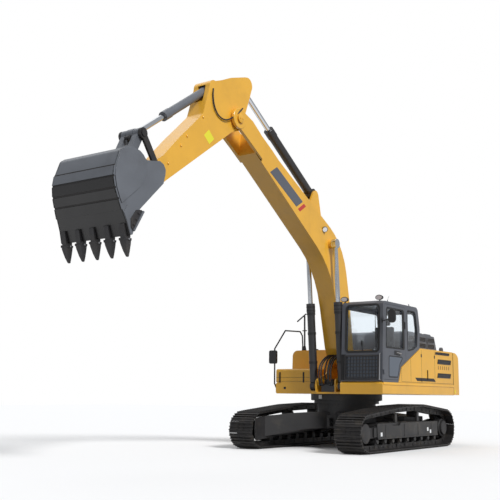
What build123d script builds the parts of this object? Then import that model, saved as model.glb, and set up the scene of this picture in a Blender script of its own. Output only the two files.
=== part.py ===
from build123d import *
import math
import os

# Crawler excavator, millimetres. Every number below is measured from the slew axis:
# X forward along the tracks, Y to the cab side, Z up from the ground.
# placed() moves the finished pieces so that the middle of the machine is the origin.
SLEW_X = -2560.0

GAP = 0.3  # play left between a curved face and what it sits against
RUN = 10.0  # side clearance between a moving ear and the plate beside it

# undercarriage
TRACK_Y = 1295.0
SHOE_WIDTH = 600.0
SHOES = 48
PITCH_TO_PLATE = 55.0
PITCH_TO_FACE = 70.0
PITCH_TO_TIP = 100.0
CHAIN_HALF_WIDTH = 100.0
CHAIN_INSIDE = 50.0
IDLER = (1950.0, 400.0)
IDLER_PITCH_R = 300.0
IDLER_HUB_R = 70.0
SPROCKET = (-2070.0, 430.0)
SPROCKET_PITCH_R = 330.0
CARRIERS = ((450.0, 865.0), (-700.0, 905.0))
CARRIER_R = 75.0
ROLLER_R = 74.0
ROLLER_Z = PITCH_TO_TIP + CHAIN_INSIDE + ROLLER_R + GAP
ROLLER_XS = [-1500.0 + 370.0 * i for i in range(9)]
FRAME_HALF_WIDTH = 190.0
HANGER_IN = FRAME_HALF_WIDTH - 36.0  # inner face of the plates that hold the rollers
CARRIER_PLATE = 110.0  # inner face of the plate that holds a carrier roller
FRAME_BOTTOM = 300.0
DRIVE_PLATE = 60.0  # thickness of the plate that holds the final drive

TOW_EYE = (800.0, 32.0, 60.0)  # x of its middle, hole radius, plate thickness

# slew ring and house deck
NECK_R = 665.0
RING_LOW_R = 740.0
RING_R = 815.0
RING_LOW_Z = 975.0
RING_Z = 1050.0
DECK_LOW = 1190.0
DECK_TOP = 1450.0
HOUSE_HALF = 1470.0
DECK_FRONT = 1130.0
DECK_FRONT_RIGHT = 728.0
DECK_RIGHT_INNER = -365.0
WEIGHT_FRONT = -2860.0
TAIL_R = 3540.0
WEIGHT_TOP = 2240.0
SIDE_PANEL = 65.0  # depth of the left side panels
LIFT_EYE = (-3060.0, 1080.0, 2320.0)  # middle of the hole in the counterweight's left lifting eye
LIFT_EYE_SIZE = (32.0, 60.0)  # hole radius, plate thickness

# front upright of the right-hand rail
RAIL_X = 735.0
RAIL_Y = -(HOUSE_HALF + 30.0)
RAIL_R = 17.0

# cab
CAB_OUT = HOUSE_HALF - 10.0
CAB_IN = CAB_OUT - 995.0
DECK_LEFT_INNER = CAB_IN - 10.0
SEAT_Y = CAB_OUT - 500.0
WALL = 55.0
GLASS = 8.0
DOOR_GAP = 6.0
HINGE = (1066.0, CAB_OUT + 18.0)  # x and y of the door's hinge line
HINGE_R = 14.0
HINGES = ((1620.0, 1045.0), (2750.0, 981.0))  # height of a knuckle, x of the door's front edge there
KNUCKLE = 45.0

# boom, arm and bucket, as (x, z) of each pin in the side view
BOOM_FOOT = (97.0, 1945.0)
BOOM_TIP = (4738.0, 6431.0)
BOOM_CYL_FOOT = (856.0, 1360.0)
BOOM_CYL_EYE = (1120.0, 4509.0)
BOOM_CYL_Y = 355.0
BOOM_HALF = 220.0
ARM_CYL_FOOT = (1625.0, 5589.0)
ARM_CYL_EYE = (4357.0, 7253.0)
BUCKET_CYL_FOOT = (5456.0, 6847.0)
SIDE_LINK_PIN = (7054.0, 4909.0)
LINK_PIN = (7436.0, 5431.0)
BUCKET_PIN = (7350.0, 4530.0)
BUCKET_LINK_PIN = (7745.0, 4803.0)
ARM_HALF = 190.0
EAR_IN = ARM_HALF + RUN
EAR_OUT = EAR_IN + 50.0
BUCKET_HALF = 750.0
# cylinder sizes: barrel length and radius, half widths of foot and rod eyes, radii of pin, eye and rod
BOOM_CYL = dict(length=1850.0, radius=88.0, foot_half=57.0, eye_half=57.0, pin_r=50.0, eye_r=105.0, rod=52.0)
ARM_CYL = dict(length=1990.0, radius=95.0, foot_half=100.0, eye_half=70.0, pin_r=50.0, eye_r=115.0, rod=56.0)
BUCKET_CYL = dict(length=1510.0, radius=80.0, foot_half=84.0, eye_half=65.0, pin_r=45.0, eye_r=100.0, rod=48.0)
TEETH_Y = (-620.0, -310.0, 0.0, 310.0, 620.0)


def placed(shape):
    return Pos(SLEW_X, 0, 0) * shape


def block(x0, x1, y0, y1, z0, z1):
    """Box between two corners."""
    middle = ((x0 + x1) / 2, (y0 + y1) / 2, (z0 + z1) / 2)
    return Pos(*middle) * Box(abs(x1 - x0), abs(y1 - y0), abs(z1 - z0))


def corner_edges(points, put):
    """Edges of a closed outline; a third number in a point is that corner's radius."""
    edges, count = [], len(points)
    starts, ends = [], []
    for i, point in enumerate(points):
        before, after = points[i - 1], points[(i + 1) % count]
        radius = point[2] if len(point) > 2 else 0.0
        here = (point[0], point[1])
        if radius <= 0:
            starts.append(here)
            ends.append(here)
            continue
        a = (before[0] - here[0], before[1] - here[1])
        b = (after[0] - here[0], after[1] - here[1])
        la, lb = math.hypot(*a), math.hypot(*b)
        ua, ub = (a[0] / la, a[1] / la), (b[0] / lb, b[1] / lb)
        half = math.acos(max(-1.0, min(1.0, ua[0] * ub[0] + ua[1] * ub[1]))) / 2
        back = radius / math.tan(half)
        first = (here[0] + ua[0] * back, here[1] + ua[1] * back)
        last = (here[0] + ub[0] * back, here[1] + ub[1] * back)
        way = (ua[0] + ub[0], ua[1] + ub[1])
        size = math.hypot(*way)
        reach = radius / math.sin(half) - radius
        middle = (here[0] + way[0] / size * reach, here[1] + way[1] / size * reach)
        edges.append(ThreePointArc(put(*first), put(*middle), put(*last)))
        starts.append(first)
        ends.append(last)
    for i in range(count):
        p, q = ends[i], starts[(i + 1) % count]
        if math.dist(p, q) > 1e-6:
            edges.append(Line(put(*p), put(*q)))
    return edges


def side(points, y0, y1):
    """Side outline of (x, z) or (x, z, radius) corners, as thick as from y0 to y1."""
    low, high = min(y0, y1), max(y0, y1)
    loop = Wire(corner_edges(points, lambda a, b: (a, low, b)))
    return extrude(Face(loop), amount=high - low, dir=(0, 1, 0))


def plan(points, z0, z1):
    """Plan outline of (x, y) corners, from height z0 to z1."""
    loop = Wire(corner_edges(points, lambda a, b: (a, b, z0)))
    return extrude(Face(loop), amount=z1 - z0, dir=(0, 0, 1))


def front(points, x0, x1):
    """Front outline of (y, z) corners, from x0 to x1."""
    loop = Wire(corner_edges(points, lambda a, b: (x0, a, b)))
    return extrude(Face(loop), amount=x1 - x0, dir=(1, 0, 0))


def pin(at, radius, y0, y1):
    """Cylinder across the machine, at an (x, z) point."""
    return Pos(at[0], (y0 + y1) / 2, at[1]) * Rot(90, 0, 0) * Cylinder(radius, abs(y1 - y0))


def drum(at, radius, y0, y1, sides):
    """Many-sided roller across the machine, for round things that nothing runs in."""
    step = 2 * math.pi / sides
    return side([(at[0] + radius * math.cos(i * step), at[1] + radius * math.sin(i * step))
                 for i in range(sides)], y0, y1)


def bar(a, b, radius):
    """Round bar between two points in space."""
    a, b = Vector(*a), Vector(*b)
    return Plane(origin=(a + b) / 2, z_dir=b - a) * Cylinder(radius, (b - a).length)


def along(a, b, start, end, radius, y=0.0):
    """Round bar on the line from pin a to pin b, from one distance to another."""
    length = math.dist(a, b)
    u = ((b[0] - a[0]) / length, (b[1] - a[1]) / length)
    p = (a[0] + u[0] * start, y, a[1] + u[1] * start)
    q = (a[0] + u[0] * end, y, a[1] + u[1] * end)
    return bar(p, q, radius)


def both(shape):
    """The shape and its mirror image on the other side."""
    return shape + mirror(shape, about=Plane.XZ)


def joined(shapes):
    whole = shapes[0]
    for shape in shapes[1:]:
        whole = whole + shape
    return whole


def tangent(centre, radius, point, turn):
    dx, dz = point[0] - centre[0], point[1] - centre[1]
    return math.atan2(dz, dx) + turn * math.acos(radius / math.hypot(dx, dz))


def chain_path():
    """The pins' path round idler, carrier rollers and sprocket, as many short steps."""
    path = []
    last = tangent(IDLER, IDLER_PITCH_R, CARRIERS[0], -1)
    first = -math.pi / 2
    for i in range(61):
        angle = first + (last - first) * i / 60
        path.append((IDLER[0] + IDLER_PITCH_R * math.cos(angle),
                     IDLER[1] + IDLER_PITCH_R * math.sin(angle)))
    path.extend(CARRIERS)
    first = tangent(SPROCKET, SPROCKET_PITCH_R, CARRIERS[-1], 1)
    last = 1.5 * math.pi
    for i in range(61):
        angle = first + (last - first) * i / 60
        path.append((SPROCKET[0] + SPROCKET_PITCH_R * math.cos(angle),
                     SPROCKET[1] + SPROCKET_PITCH_R * math.sin(angle)))
    return path


def chain_pins():
    """SHOES points at equal steps round the path, beginning under the idler."""
    path = chain_path()
    path.append(path[0])
    steps = [math.dist(path[i], path[i + 1]) for i in range(len(path) - 1)]
    step = sum(steps) / SHOES
    pins, i, done = [], 0, 0.0
    for k in range(SHOES):
        want = k * step
        while done + steps[i] < want:
            done += steps[i]
            i += 1
        t = (want - done) / steps[i]
        pins.append((path[i][0] + (path[i + 1][0] - path[i][0]) * t,
                     path[i][1] + (path[i + 1][1] - path[i][1]) * t))
    return pins


# one shoe along its chain link: share of the link, distance out from the pins
SHOE_OUTLINE = ((0.10, PITCH_TO_FACE), (0.13, PITCH_TO_TIP), (0.18, PITCH_TO_TIP), (0.22, PITCH_TO_FACE),
                (0.44, PITCH_TO_FACE), (0.47, PITCH_TO_TIP), (0.53, PITCH_TO_TIP), (0.56, PITCH_TO_FACE),
                (0.78, PITCH_TO_FACE), (0.82, PITCH_TO_TIP), (0.87, PITCH_TO_TIP), (0.90, PITCH_TO_FACE))


def ring_points(outline):
    pins = chain_pins()
    points = []
    for k in range(SHOES):
        p, q = pins[k], pins[(k + 1) % SHOES]
        size = math.dist(p, q)
        u = ((q[0] - p[0]) / size, (q[1] - p[1]) / size)
        for share, out in outline:
            points.append((p[0] + u[0] * size * share + u[1] * out,
                           p[1] + u[1] * size * share - u[0] * out))
    return points


def track():
    """One closed loop: chain inside, shoes with three bars each in its outline."""
    half = SHOE_WIDTH / 2
    shoes = side(ring_points(SHOE_OUTLINE), -half, half)
    shoes = shoes - side(ring_points(((0.5, PITCH_TO_PLATE),)), -half, half)
    chain = side(ring_points(((0.5, PITCH_TO_PLATE + 1),)), -CHAIN_HALF_WIDTH, CHAIN_HALF_WIDTH)
    chain = chain - side(ring_points(((0.5, -CHAIN_INSIDE),)), -CHAIN_HALF_WIDTH, CHAIN_HALF_WIDTH)
    return Pos(0, TRACK_Y, 0) * (shoes + chain)


def idlers():
    tread = IDLER_PITCH_R - CHAIN_INSIDE - 38
    wheel = drum(IDLER, tread, -70, 70, 40) + drum(IDLER, tread - 38, -120, 120, 40)
    wheel = wheel + pin(IDLER, IDLER_HUB_R - GAP, -FRAME_HALF_WIDTH, FRAME_HALF_WIDTH)
    return both(Pos(0, TRACK_Y, 0) * wheel)


def sprockets():
    """Toothed ring between the chain's links, with the round drive cover outside."""
    low = SPROCKET_PITCH_R - CHAIN_INSIDE - 75
    high = SPROCKET_PITCH_R - CHAIN_INSIDE - 36
    points, teeth = [], 21
    for i in range(teeth):
        for share, radius in ((0.0, low), (0.2, low), (0.4, high), (0.7, high)):
            angle = 2 * math.pi * (i + share) / teeth
            points.append((SPROCKET[0] + radius * math.cos(angle), SPROCKET[1] + radius * math.sin(angle)))
    wheel = side(points, -30, 30) + drum(SPROCKET, 205, 30, 150, 32) + drum(SPROCKET, 165, 150, 190, 32)
    wheel = wheel + drum(SPROCKET, 150, DRIVE_PLATE - FRAME_HALF_WIDTH, -30, 24)
    return both(Pos(0, TRACK_Y, 0) * wheel)


def rollers():
    """Bottom rollers hung under the beam and the carriers on top of it."""
    pieces = []
    for x in ROLLER_XS:
        at = (x, ROLLER_Z)
        pieces.append(drum(at, ROLLER_R, -HANGER_IN + 4, HANGER_IN - 4, 16) + drum(at, 40, -HANGER_IN, HANGER_IN, 8))
    for x, z in CARRIERS:
        at = (x, z - CHAIN_INSIDE - CARRIER_R - 14)
        pieces.append(drum(at, CARRIER_R, -100, 100, 16) + drum(at, 35, -100, CARRIER_PLATE, 8))
    return both(Pos(0, TRACK_Y, 0) * Compound(children=pieces))


def track_frame():
    """Beam between idler and sprocket, its fork, roller hangers and drive bracket."""
    w = FRAME_HALF_WIDTH
    beam = side(((1560, FRAME_BOTTOM + 20), (1560, 545, 20), (1380, 575, 40), (900, 590, 60), (-700, 600, 60),
                 (-1350, 590, 60), (-1560, 545, 40), (-1560, FRAME_BOTTOM + 20)), -w, w)
    pieces = [beam]
    for sign in (-1, 1):
        y0, y1 = sorted((sign * HANGER_IN, sign * w))
        pieces.append(side(((1500, 300), (1500, 520, 40), (2100, 490, 60), (2100, 300, 60)), y0, y1)
                      - pin(IDLER, IDLER_HUB_R, y0 - 1, y1 + 1))
        for x in ROLLER_XS:
            pieces.append(block(x - 60, x + 60, y0, y1, ROLLER_Z - 55, FRAME_BOTTOM + 30))
    pieces.append(side(((-1500, 330), (-1500, 560, 40), (-2120, 640, 150), (-2260, 430, 150), (-2120, 260, 150)),
                       -w, -w + DRIVE_PLATE))
    for x, z in CARRIERS:
        top = z - CHAIN_INSIDE - CARRIER_R - 14
        pieces.append(block(x - 55, x + 55, CARRIER_PLATE, CARRIER_PLATE + 40, 560, top + 50))
    return Pos(0, TRACK_Y, 0) * joined(pieces)


def centre_frame():
    """Neck under the slew ring, centre box and four legs out to the track beams."""
    inner = TRACK_Y - FRAME_HALF_WIDTH
    neck = Pos(0, 0, (560 + RING_LOW_Z) / 2) * Cylinder(NECK_R, RING_LOW_Z - 560)
    flange = Pos(0, 0, (RING_LOW_Z + RING_Z) / 2) * Cylinder(RING_LOW_R, RING_Z - RING_LOW_Z)
    middle = plan(((700, 420), (420, 640), (-420, 640), (-700, 420), (-700, -420), (-420, -640),
                   (420, -640), (700, -420)), 440, 720)
    leg = plan(((250, 350), (620, 60), (1380, inner - 40), (1380, inner), (820, inner), (820, inner - 40)), 300, 900)
    section = front(((0, 470), (560, 470, 200), (inner, 320), (inner, 560, 40), (620, 760, 200), (0, 800)), -1500, 1500)
    leg = leg & section
    rear = mirror(leg, about=Plane.YZ)
    legs = both(leg) + both(rear)
    tow = block(690, 860, -TOW_EYE[2] / 2, TOW_EYE[2] / 2, 480, 660)
    return neck + flange + middle + legs + tow - pin((TOW_EYE[0], 570), TOW_EYE[1], -100, 100)


def slew_ring():
    return Pos(0, 0, (RING_Z + DECK_LOW) / 2) * Cylinder(RING_R, DECK_LOW - RING_Z)


def deck():
    """House platform: left and right decks, the middle floor and the two boom plates."""
    outer = HOUSE_HALF
    skirt = 40.0
    left = front(((DECK_LEFT_INNER, DECK_LOW), (outer, DECK_LOW, 20), (outer, DECK_TOP - skirt), (outer - skirt, DECK_TOP),
                  (DECK_LEFT_INNER, DECK_TOP)), WEIGHT_FRONT, DECK_FRONT)
    left = left - side(((DECK_FRONT - skirt, DECK_TOP), (DECK_FRONT + 5, DECK_TOP - skirt - 5), (DECK_FRONT + 5, DECK_TOP)),
                       0, outer + 10)
    right = front(((-outer, DECK_LOW, 40), (DECK_RIGHT_INNER, DECK_LOW), (DECK_RIGHT_INNER, DECK_TOP),
                   (-outer + skirt, DECK_TOP), (-outer, DECK_TOP - skirt)), WEIGHT_FRONT, DECK_FRONT_RIGHT)
    floor = block(WEIGHT_FRONT, 950, DECK_RIGHT_INNER - 1, DECK_LEFT_INNER + 1, DECK_LOW, DECK_LOW + 40)
    back = block(WEIGHT_FRONT, -900, DECK_RIGHT_INNER - 1, DECK_LEFT_INNER + 1, DECK_LOW, DECK_TOP)
    return left + right + floor + back


def boom_mount():
    """Two upright plates that carry the boom's foot pin and the lift cylinders' feet."""
    f, c = BOOM_FOOT, BOOM_CYL_FOOT
    low = DECK_LOW + 40
    inner = BOOM_HALF + RUN
    outer = inner + 28
    outline = ((-880, low), (-880, 1600, 100), (-200, 2080, 150), (97, 2150, 150), (330, 2050, 120), (500, 1640, 200),
               (c[0] + 120, 1500, 80), (c[0] + 120, low))
    plate = side(outline, inner, outer) + pin(f, 170, inner, outer + 20)
    cap = BOOM_CYL_Y + BOOM_CYL["eye_half"] + GAP
    pins = pin(c, BOOM_CYL["pin_r"], inner, cap) + pin(c, 72, cap, cap + 14) + pin(f, 60, 0, outer + 34)
    plate = plate + pin(c, 84, inner, BOOM_CYL_Y - BOOM_CYL["eye_half"] - GAP)
    return both(plate + pins)


def boom_shape():
    """Bent box between foot and tip, with bosses, a fork for the arm and the cylinder brackets."""
    f, t, e, d = BOOM_FOOT, BOOM_TIP, BOOM_CYL_EYE, ARM_CYL_FOOT
    outline = ((-90, 1860), (60, 1760, 60), (420, 1900, 200), (603, 2205, 200), (1031, 3943, 2000), (4282, 6014, 300),
               (4676, 6230, 60), (4900, 6431, 60), (4800, 6600, 60), (4640, 6622, 80), (4278, 6541, 100), (4090, 6390, 60),
               (4022, 6275, 60), (3500, 6075, 150), (3250, 5880, 150), (504, 4600, 1400), (230, 3354, 600), (60, 2150, 300))
    web = side(outline, -BOOM_HALF, BOOM_HALF) + pin(f, 185, -BOOM_HALF, BOOM_HALF)
    ears = side(((3900, 5800, 40), (4282, 6014, 300), (4676, 6230, 60), (4900, 6431, 60), (4800, 6600, 60),
                 (4640, 6622, 80), (4278, 6541, 100), (4090, 6390, 60), (3850, 6200, 40)), BOOM_HALF - 5, EAR_OUT + 20)
    ears = ears + pin(t, 200, BOOM_HALF - 5, EAR_OUT + 30)
    web = web + both(ears)
    web = web - pin(t, 700, -EAR_IN, EAR_IN)
    boss = pin(e, 95, BOOM_HALF - 5, BOOM_CYL_Y - BOOM_CYL["eye_half"] - GAP)
    bracket_in = ARM_CYL["radius"] + RUN
    bracket = side(((d[0] - 330, 4880), (d[0] - 120, d[1] + 40, 60), (d[0], d[1] + 130, 90), (d[0] + 130, d[1] - 20, 60),
                    (d[0] + 420, 5220)), bracket_in, bracket_in + 45)
    web = web + both(boss + bracket)
    return web - pin(f, 60 + GAP, -400, 400)


def cylinder_barrel(foot, eye, length, radius, y, eye_half, pin_r, eye_r):
    """Barrel with its foot eye, a wider gland at its head, and the bore its rod runs in."""
    body = along(foot, eye, eye_r - 15, length - 190, radius, y) + along(foot, eye, length - 200, length, radius * 1.12, y)
    return body + pin(foot, eye_r, y - eye_half, y + eye_half) - pin(foot, pin_r + GAP, y - 500, y + 500)


def cylinder_rod(foot, eye, start, radius, y, eye_half, pin_r, eye_r):
    """Rod with its eye; the pin in the eye is part of it."""
    length = math.dist(foot, eye)
    return along(foot, eye, start, length - eye_r + 15, radius, y) + pin(eye, eye_r, y - eye_half, y + eye_half)


def barrel_and_rod(size, foot, eye, y):
    """A barrel bored for its rod, and that rod reaching 150 mm inside it at rest."""
    barrel = cylinder_barrel(foot, eye, size["length"], size["radius"], y, size["foot_half"], size["pin_r"], size["eye_r"])
    barrel = barrel - along(foot, eye, 190, size["length"] + 5, size["rod"] + 0.05, y)
    rod = cylinder_rod(foot, eye, size["length"] - 150, size["rod"], y, size["eye_half"], size["pin_r"], size["eye_r"])
    return barrel, rod


def arm_shape():
    """Arm box with its horn for the arm cylinder and the bucket cylinder's bracket."""
    t, a, b, n, q = BOOM_TIP, ARM_CYL_EYE, BUCKET_CYL_FOOT, SIDE_LINK_PIN, BUCKET_PIN
    outline = ((4228, 7180), (4290, 7000), (4430, 6640, 200), (4540, 6290, 150), (4790, 6180, 150), (4882, 6130, 150),
               (6808, 4741), (7255, 4412), (7470, 4440), (7450, 4640), (7170, 4960), (7010, 5089, 60), (6878, 5180, 200),
               (6442, 5625, 300), (5790, 6240, 120), (5640, 6700, 60), (5585, 6930, 60), (5185, 7092, 300), (4940, 7215, 300),
               (4420, 7395, 60))
    body = side(outline, -ARM_HALF, ARM_HALF)
    body = body + pin(t, 225, -ARM_HALF, ARM_HALF) + pin(a, 150, -ARM_HALF, ARM_HALF)
    body = body + pin(q, 148, -ARM_HALF, ARM_HALF) + pin(n, 120, -ARM_HALF, ARM_HALF) + pin(b, 150, -ARM_HALF, ARM_HALF)
    slot = ARM_CYL["eye_half"] + RUN
    horn = side(((4000, 7500), (4550, 7500), (4560, 7150, 60), (4490, 6600), (4000, 6500)), -slot, slot)
    wide = BUCKET_CYL["radius"] + RUN
    body = body - horn - side(strap(b, LINK_PIN, 115), -wide, wide) - pin(b, 125, -wide, wide)
    pins = pin(b, BUCKET_CYL["pin_r"], -ARM_HALF, ARM_HALF) + pin(n, 45, -EAR_OUT - 20, EAR_OUT + 20)
    return body + pins - pin(t, 60 + GAP, -400, 400) - pin(q, 50 + GAP, -400, 400)


def side_links():
    """Two flat links from the arm to the cylinder's pin, outside the arm."""
    n, m = SIDE_LINK_PIN, LINK_PIN
    link = side(strap(n, m, 62), EAR_IN, EAR_OUT - 5) + pin(n, 95, EAR_IN, EAR_OUT - 5) + pin(m, 95, EAR_IN, EAR_OUT - 5)
    return both(link - pin(n, 45 + GAP, 0, 500) + pin(m, 60, EAR_OUT - 6, EAR_OUT + 15))


def strap(a, b, half):
    """Corners of a straight bar of this half width between two pins."""
    size = math.dist(a, b)
    n = (-(b[1] - a[1]) / size * half, (b[0] - a[0]) / size * half)
    return ((a[0] + n[0], a[1] + n[1]), (b[0] + n[0], b[1] + n[1]), (b[0] - n[0], b[1] - n[1]), (a[0] - n[0], a[1] - n[1]))


def bucket_link():
    """Forked link from the cylinder's pin down to the bucket, with its cross plate."""
    m, p = LINK_PIN, BUCKET_LINK_PIN
    inner = BUCKET_CYL["eye_half"] + RUN
    arm = side(strap(m, p, 70), inner, ARM_HALF) + pin(m, 95, inner, ARM_HALF) + pin(p, 95, inner, ARM_HALF)
    size = math.dist(m, p)
    u = ((p[0] - m[0]) / size, (p[1] - m[1]) / size)
    a = (m[0] + u[0] * 280, m[1] + u[1] * 280)
    b = (m[0] + u[0] * 560, m[1] + u[1] * 560)
    cross = side(strap(a, b, 60), -inner - 5, inner + 5)
    return both(arm) + cross - pin(p, 45 + GAP, -400, 400)


BUCKET_OUTLINE = ((7476, 4474), (7478, 4585), (7440, 4660, 40), (7440, 4740, 60), (7684, 4816, 100), (7884, 4800, 100),
                  (8040, 4900, 120), (8310, 4910, 150), (8500, 4790, 200), (8630, 4520, 300), (8625, 4320, 400),
                  (8550, 4083, 500), (8434, 3855, 500), (8250, 3540), (8190, 3560), (7990, 3967))


def bucket_shape():
    """Hollow bucket: shell, side plates, ears with their pins, teeth and side cutters."""
    outer = side(BUCKET_OUTLINE, -BUCKET_HALF, BUCKET_HALF)
    hollow = side(((7400, 4420), (7560, 4640, 60), (7700, 4770, 60), (7900, 4760, 100), (8050, 4860, 100), (8300, 4870, 130),
                   (8470, 4760, 180), (8595, 4515, 280), (8590, 4325, 380), (8515, 4095, 500), (8405, 3875, 500),
                   (8160, 3450), (7800, 3700)), -BUCKET_HALF + 30, BUCKET_HALF - 30)
    q, p = BUCKET_PIN, BUCKET_LINK_PIN
    hinge_box = side(((7480, 4440), (7478, 4585), (7440, 4660), (7440, 4740), (7684, 4816), (7900, 4790), (8020, 4870),
                      (8000, 4640), (7800, 4560), (7620, 4440)), -EAR_OUT, EAR_OUT)
    shell = outer - hollow + hinge_box - pin(q, 200, -EAR_IN, EAR_IN) - pin(p, 108, -EAR_IN, EAR_IN)
    shell = shell - side(((q[0], q[1]), (7300, 4900), (7900, 5050), (p[0] + 80, p[1] + 30), (p[0], p[1] - 100), (7560, 4640)),
                         -EAR_IN, EAR_IN)
    ear = side(((7230, 4440, 60), (7240, 4620, 60), (7420, 4790, 80), (7720, 4990, 100), (7880, 4980, 100), (8080, 4895),
                (8060, 4865), (7900, 4770), (7700, 4780), (7540, 4640), (7460, 4470, 30), (7380, 4390, 60)), EAR_IN, EAR_OUT)
    ears = both(ear + pin(q, 148, EAR_IN, EAR_OUT + 25) + pin(p, 118, EAR_IN, EAR_OUT + 15))
    ears = ears + pin(q, 50, -EAR_OUT - 40, EAR_OUT + 40) + pin(p, 45, -EAR_OUT - 30, EAR_OUT + 30)
    return shell + ears


def teeth():
    """Adapters and points on the lip, and the side cutters."""
    pieces = []
    for y in TEETH_Y:
        adapter = side(((8190, 3560), (8250, 3540), (8292, 3450), (8178, 3450)), y - 50, y + 50)
        point = side(((8178, 3450), (8292, 3450), (8262, 3195), (8240, 3195)), y - 45, y + 45)
        pieces.append(adapter + point)
    return Compound(children=pieces)


CAB_OUTLINE = ((330, DECK_TOP + GAP), (1110, DECK_TOP + GAP, 30), (1012, 3185, 90), (-780, 3185, 130), (-885, 2700, 400),
               (-845, 2240), (178, 1785, 60))


def inset(points, by):
    """The same closed outline moved inward by a distance, corners kept square."""
    flat = [(p[0], p[1]) for p in points]
    area = sum(flat[i - 1][0] * flat[i][1] - flat[i][0] * flat[i - 1][1] for i in range(len(flat)))
    turn = 1.0 if area > 0 else -1.0
    lines = []
    for i in range(len(flat)):
        a, b = flat[i - 1], flat[i]
        size = math.dist(a, b)
        u = ((b[0] - a[0]) / size, (b[1] - a[1]) / size)
        n = (-u[1] * turn * by, u[0] * turn * by)
        lines.append(((a[0] + n[0], a[1] + n[1]), u))
    result = []
    for i in range(len(lines)):
        (p, u), (q, v) = lines[i], lines[(i + 1) % len(lines)]
        cross = u[0] * v[1] - u[1] * v[0]
        t = ((q[0] - p[0]) * v[1] - (q[1] - p[1]) * v[0]) / cross
        result.append((p[0] + u[0] * t, p[1] + u[1] * t) + ((max(points[i][2] - by, 5.0),) if len(points[i]) > 2 else ()))
    return result


# cab openings: wall, outline corners with radius (side walls as x, z; front and rear walls as y, z)
DOOR = ((1052, 1500, 20), (960, 3125, 60), (-95, 3125, 60), (-95, 1945, 30), (165, 1832, 60), (322, 1500, 20))
DOOR_WINDOW = ((905, 2185, 30), (862, 3050, 60), (-20, 3050, 60), (-20, 2185, 30))
DOOR_LOW_WINDOW = ((700, 1600, 40), (690, 2000, 60), (160, 2000, 60), (230, 1830, 40), (310, 1600, 40))
REAR_SIDE_WINDOW = ((-200, 2160, 40), (-200, 3070, 60), (-640, 3070, 90), (-740, 2600, 200), (-700, 2290, 60), (-500, 2210, 40))
FRONT_WINDOW = ((CAB_IN + 110, 2095, 70), (CAB_IN + 110, 3105, 80), (CAB_OUT - 95, 3105, 80),
                (CAB_OUT - 95, 2095, 70))
FRONT_LOW_WINDOW = ((CAB_IN + 120, 1530, 30), (CAB_IN + 120, 2000, 30), (CAB_OUT - 105, 2000, 30),
                    (CAB_OUT - 105, 1530, 30))
REAR_WINDOW = ((CAB_IN + 110, 2420, 80), (CAB_IN + 110, 3040, 80), (CAB_OUT - 110, 3040, 80),
               (CAB_OUT - 110, 2420, 80))
RIGHT_WINDOW = ((900, 1620, 60), (830, 3060, 60), (-700, 3060, 90), (-760, 2500, 200), (-700, 2330, 60), (250, 1900, 60), (330, 1620, 60))


def cab_shell():
    """Hollow cab with its floor, roof, pillars and window openings; the doorway is open."""
    shell = side(CAB_OUTLINE, CAB_IN, CAB_OUT) - side(inset(CAB_OUTLINE, WALL), CAB_IN + WALL, CAB_OUT - WALL)
    shell = shell - side(DOOR, CAB_OUT - WALL - 1, CAB_OUT + 1)
    shell = shell - side(REAR_SIDE_WINDOW, CAB_OUT - WALL - 1, CAB_OUT + 1)
    shell = shell - side(RIGHT_WINDOW, CAB_IN - 1, CAB_IN + WALL + 1)
    shell = shell - front(FRONT_WINDOW, 900, 1200) - front(FRONT_LOW_WINDOW, 900, 1200)
    shell = shell - front(REAR_WINDOW, -1000, -700)
    for z, edge in HINGES:
        top = z + 2 * KNUCKLE
        shell = shell + Pos(*HINGE, top - KNUCKLE / 2) * Cylinder(HINGE_R, KNUCKLE)
        shell = shell + block(edge + 25, HINGE[0], CAB_OUT - 20, HINGE[1], top - KNUCKLE, top)
    return shell


def cab_glass():
    """Fixed panes, a hair smaller than their openings."""
    y = CAB_OUT - WALL / 2
    panes = [side(inset(REAR_SIDE_WINDOW, GAP), y, y + GLASS), side(inset(RIGHT_WINDOW, GAP), CAB_IN + 25, CAB_IN + 25 + GLASS)]
    tilt = ((1110, DECK_TOP), (1012, 3185))
    sheet = side(strap(tilt[0], tilt[1], GLASS / 2), CAB_IN, CAB_OUT)
    sheet = Pos(-28, 0, 0) * sheet
    panes.append(sheet & front(inset(FRONT_WINDOW, GAP), 900, 1200))
    panes.append(sheet & front(inset(FRONT_LOW_WINDOW, GAP), 900, 1200))
    rear = Pos(25, 0, 0) * block(-850, -850 + GLASS, CAB_IN, CAB_OUT, 2200, 3150)
    panes.append(rear & front(inset(REAR_WINDOW, GAP), -1000, -700))
    return Compound(children=panes)


def cab_door():
    leaf = side(inset(DOOR, DOOR_GAP), CAB_OUT - WALL, CAB_OUT)
    leaf = leaf - side(DOOR_WINDOW, CAB_OUT - 100, CAB_OUT + 1) - side(DOOR_LOW_WINDOW, CAB_OUT - 100, CAB_OUT + 1)
    for z, edge in HINGES:
        leaf = leaf + Pos(*HINGE, z + KNUCKLE / 2) * Cylinder(HINGE_R, KNUCKLE)
        leaf = leaf + block(edge - 80, edge - 10, CAB_OUT - 10, CAB_OUT + 12, z, z + KNUCKLE)
        leaf = leaf + block(edge - 80, HINGE[0], CAB_OUT + 2, CAB_OUT + 12, z, z + KNUCKLE)
    return leaf


def door_glass():
    y = CAB_OUT - WALL / 2
    return Compound(children=[side(inset(DOOR_WINDOW, GAP), y, y + GLASS), side(inset(DOOR_LOW_WINDOW, GAP), y, y + GLASS)])


def seat():
    y = SEAT_Y
    room = side(inset(CAB_OUTLINE, WALL + GAP), y - 250, y + 250)
    base = block(20, 430, y - 170, y + 170, 1510, 1990) & room
    cushion = block(-80, 470, y - 240, y + 240, 1990, 2110)
    back = side(((-90, 2110), (40, 2110), (-60, 2800, 40), (-180, 2800, 40)), y - 230, y + 230)
    return base + cushion + back


HOOD_TOP = 2250.0


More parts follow.
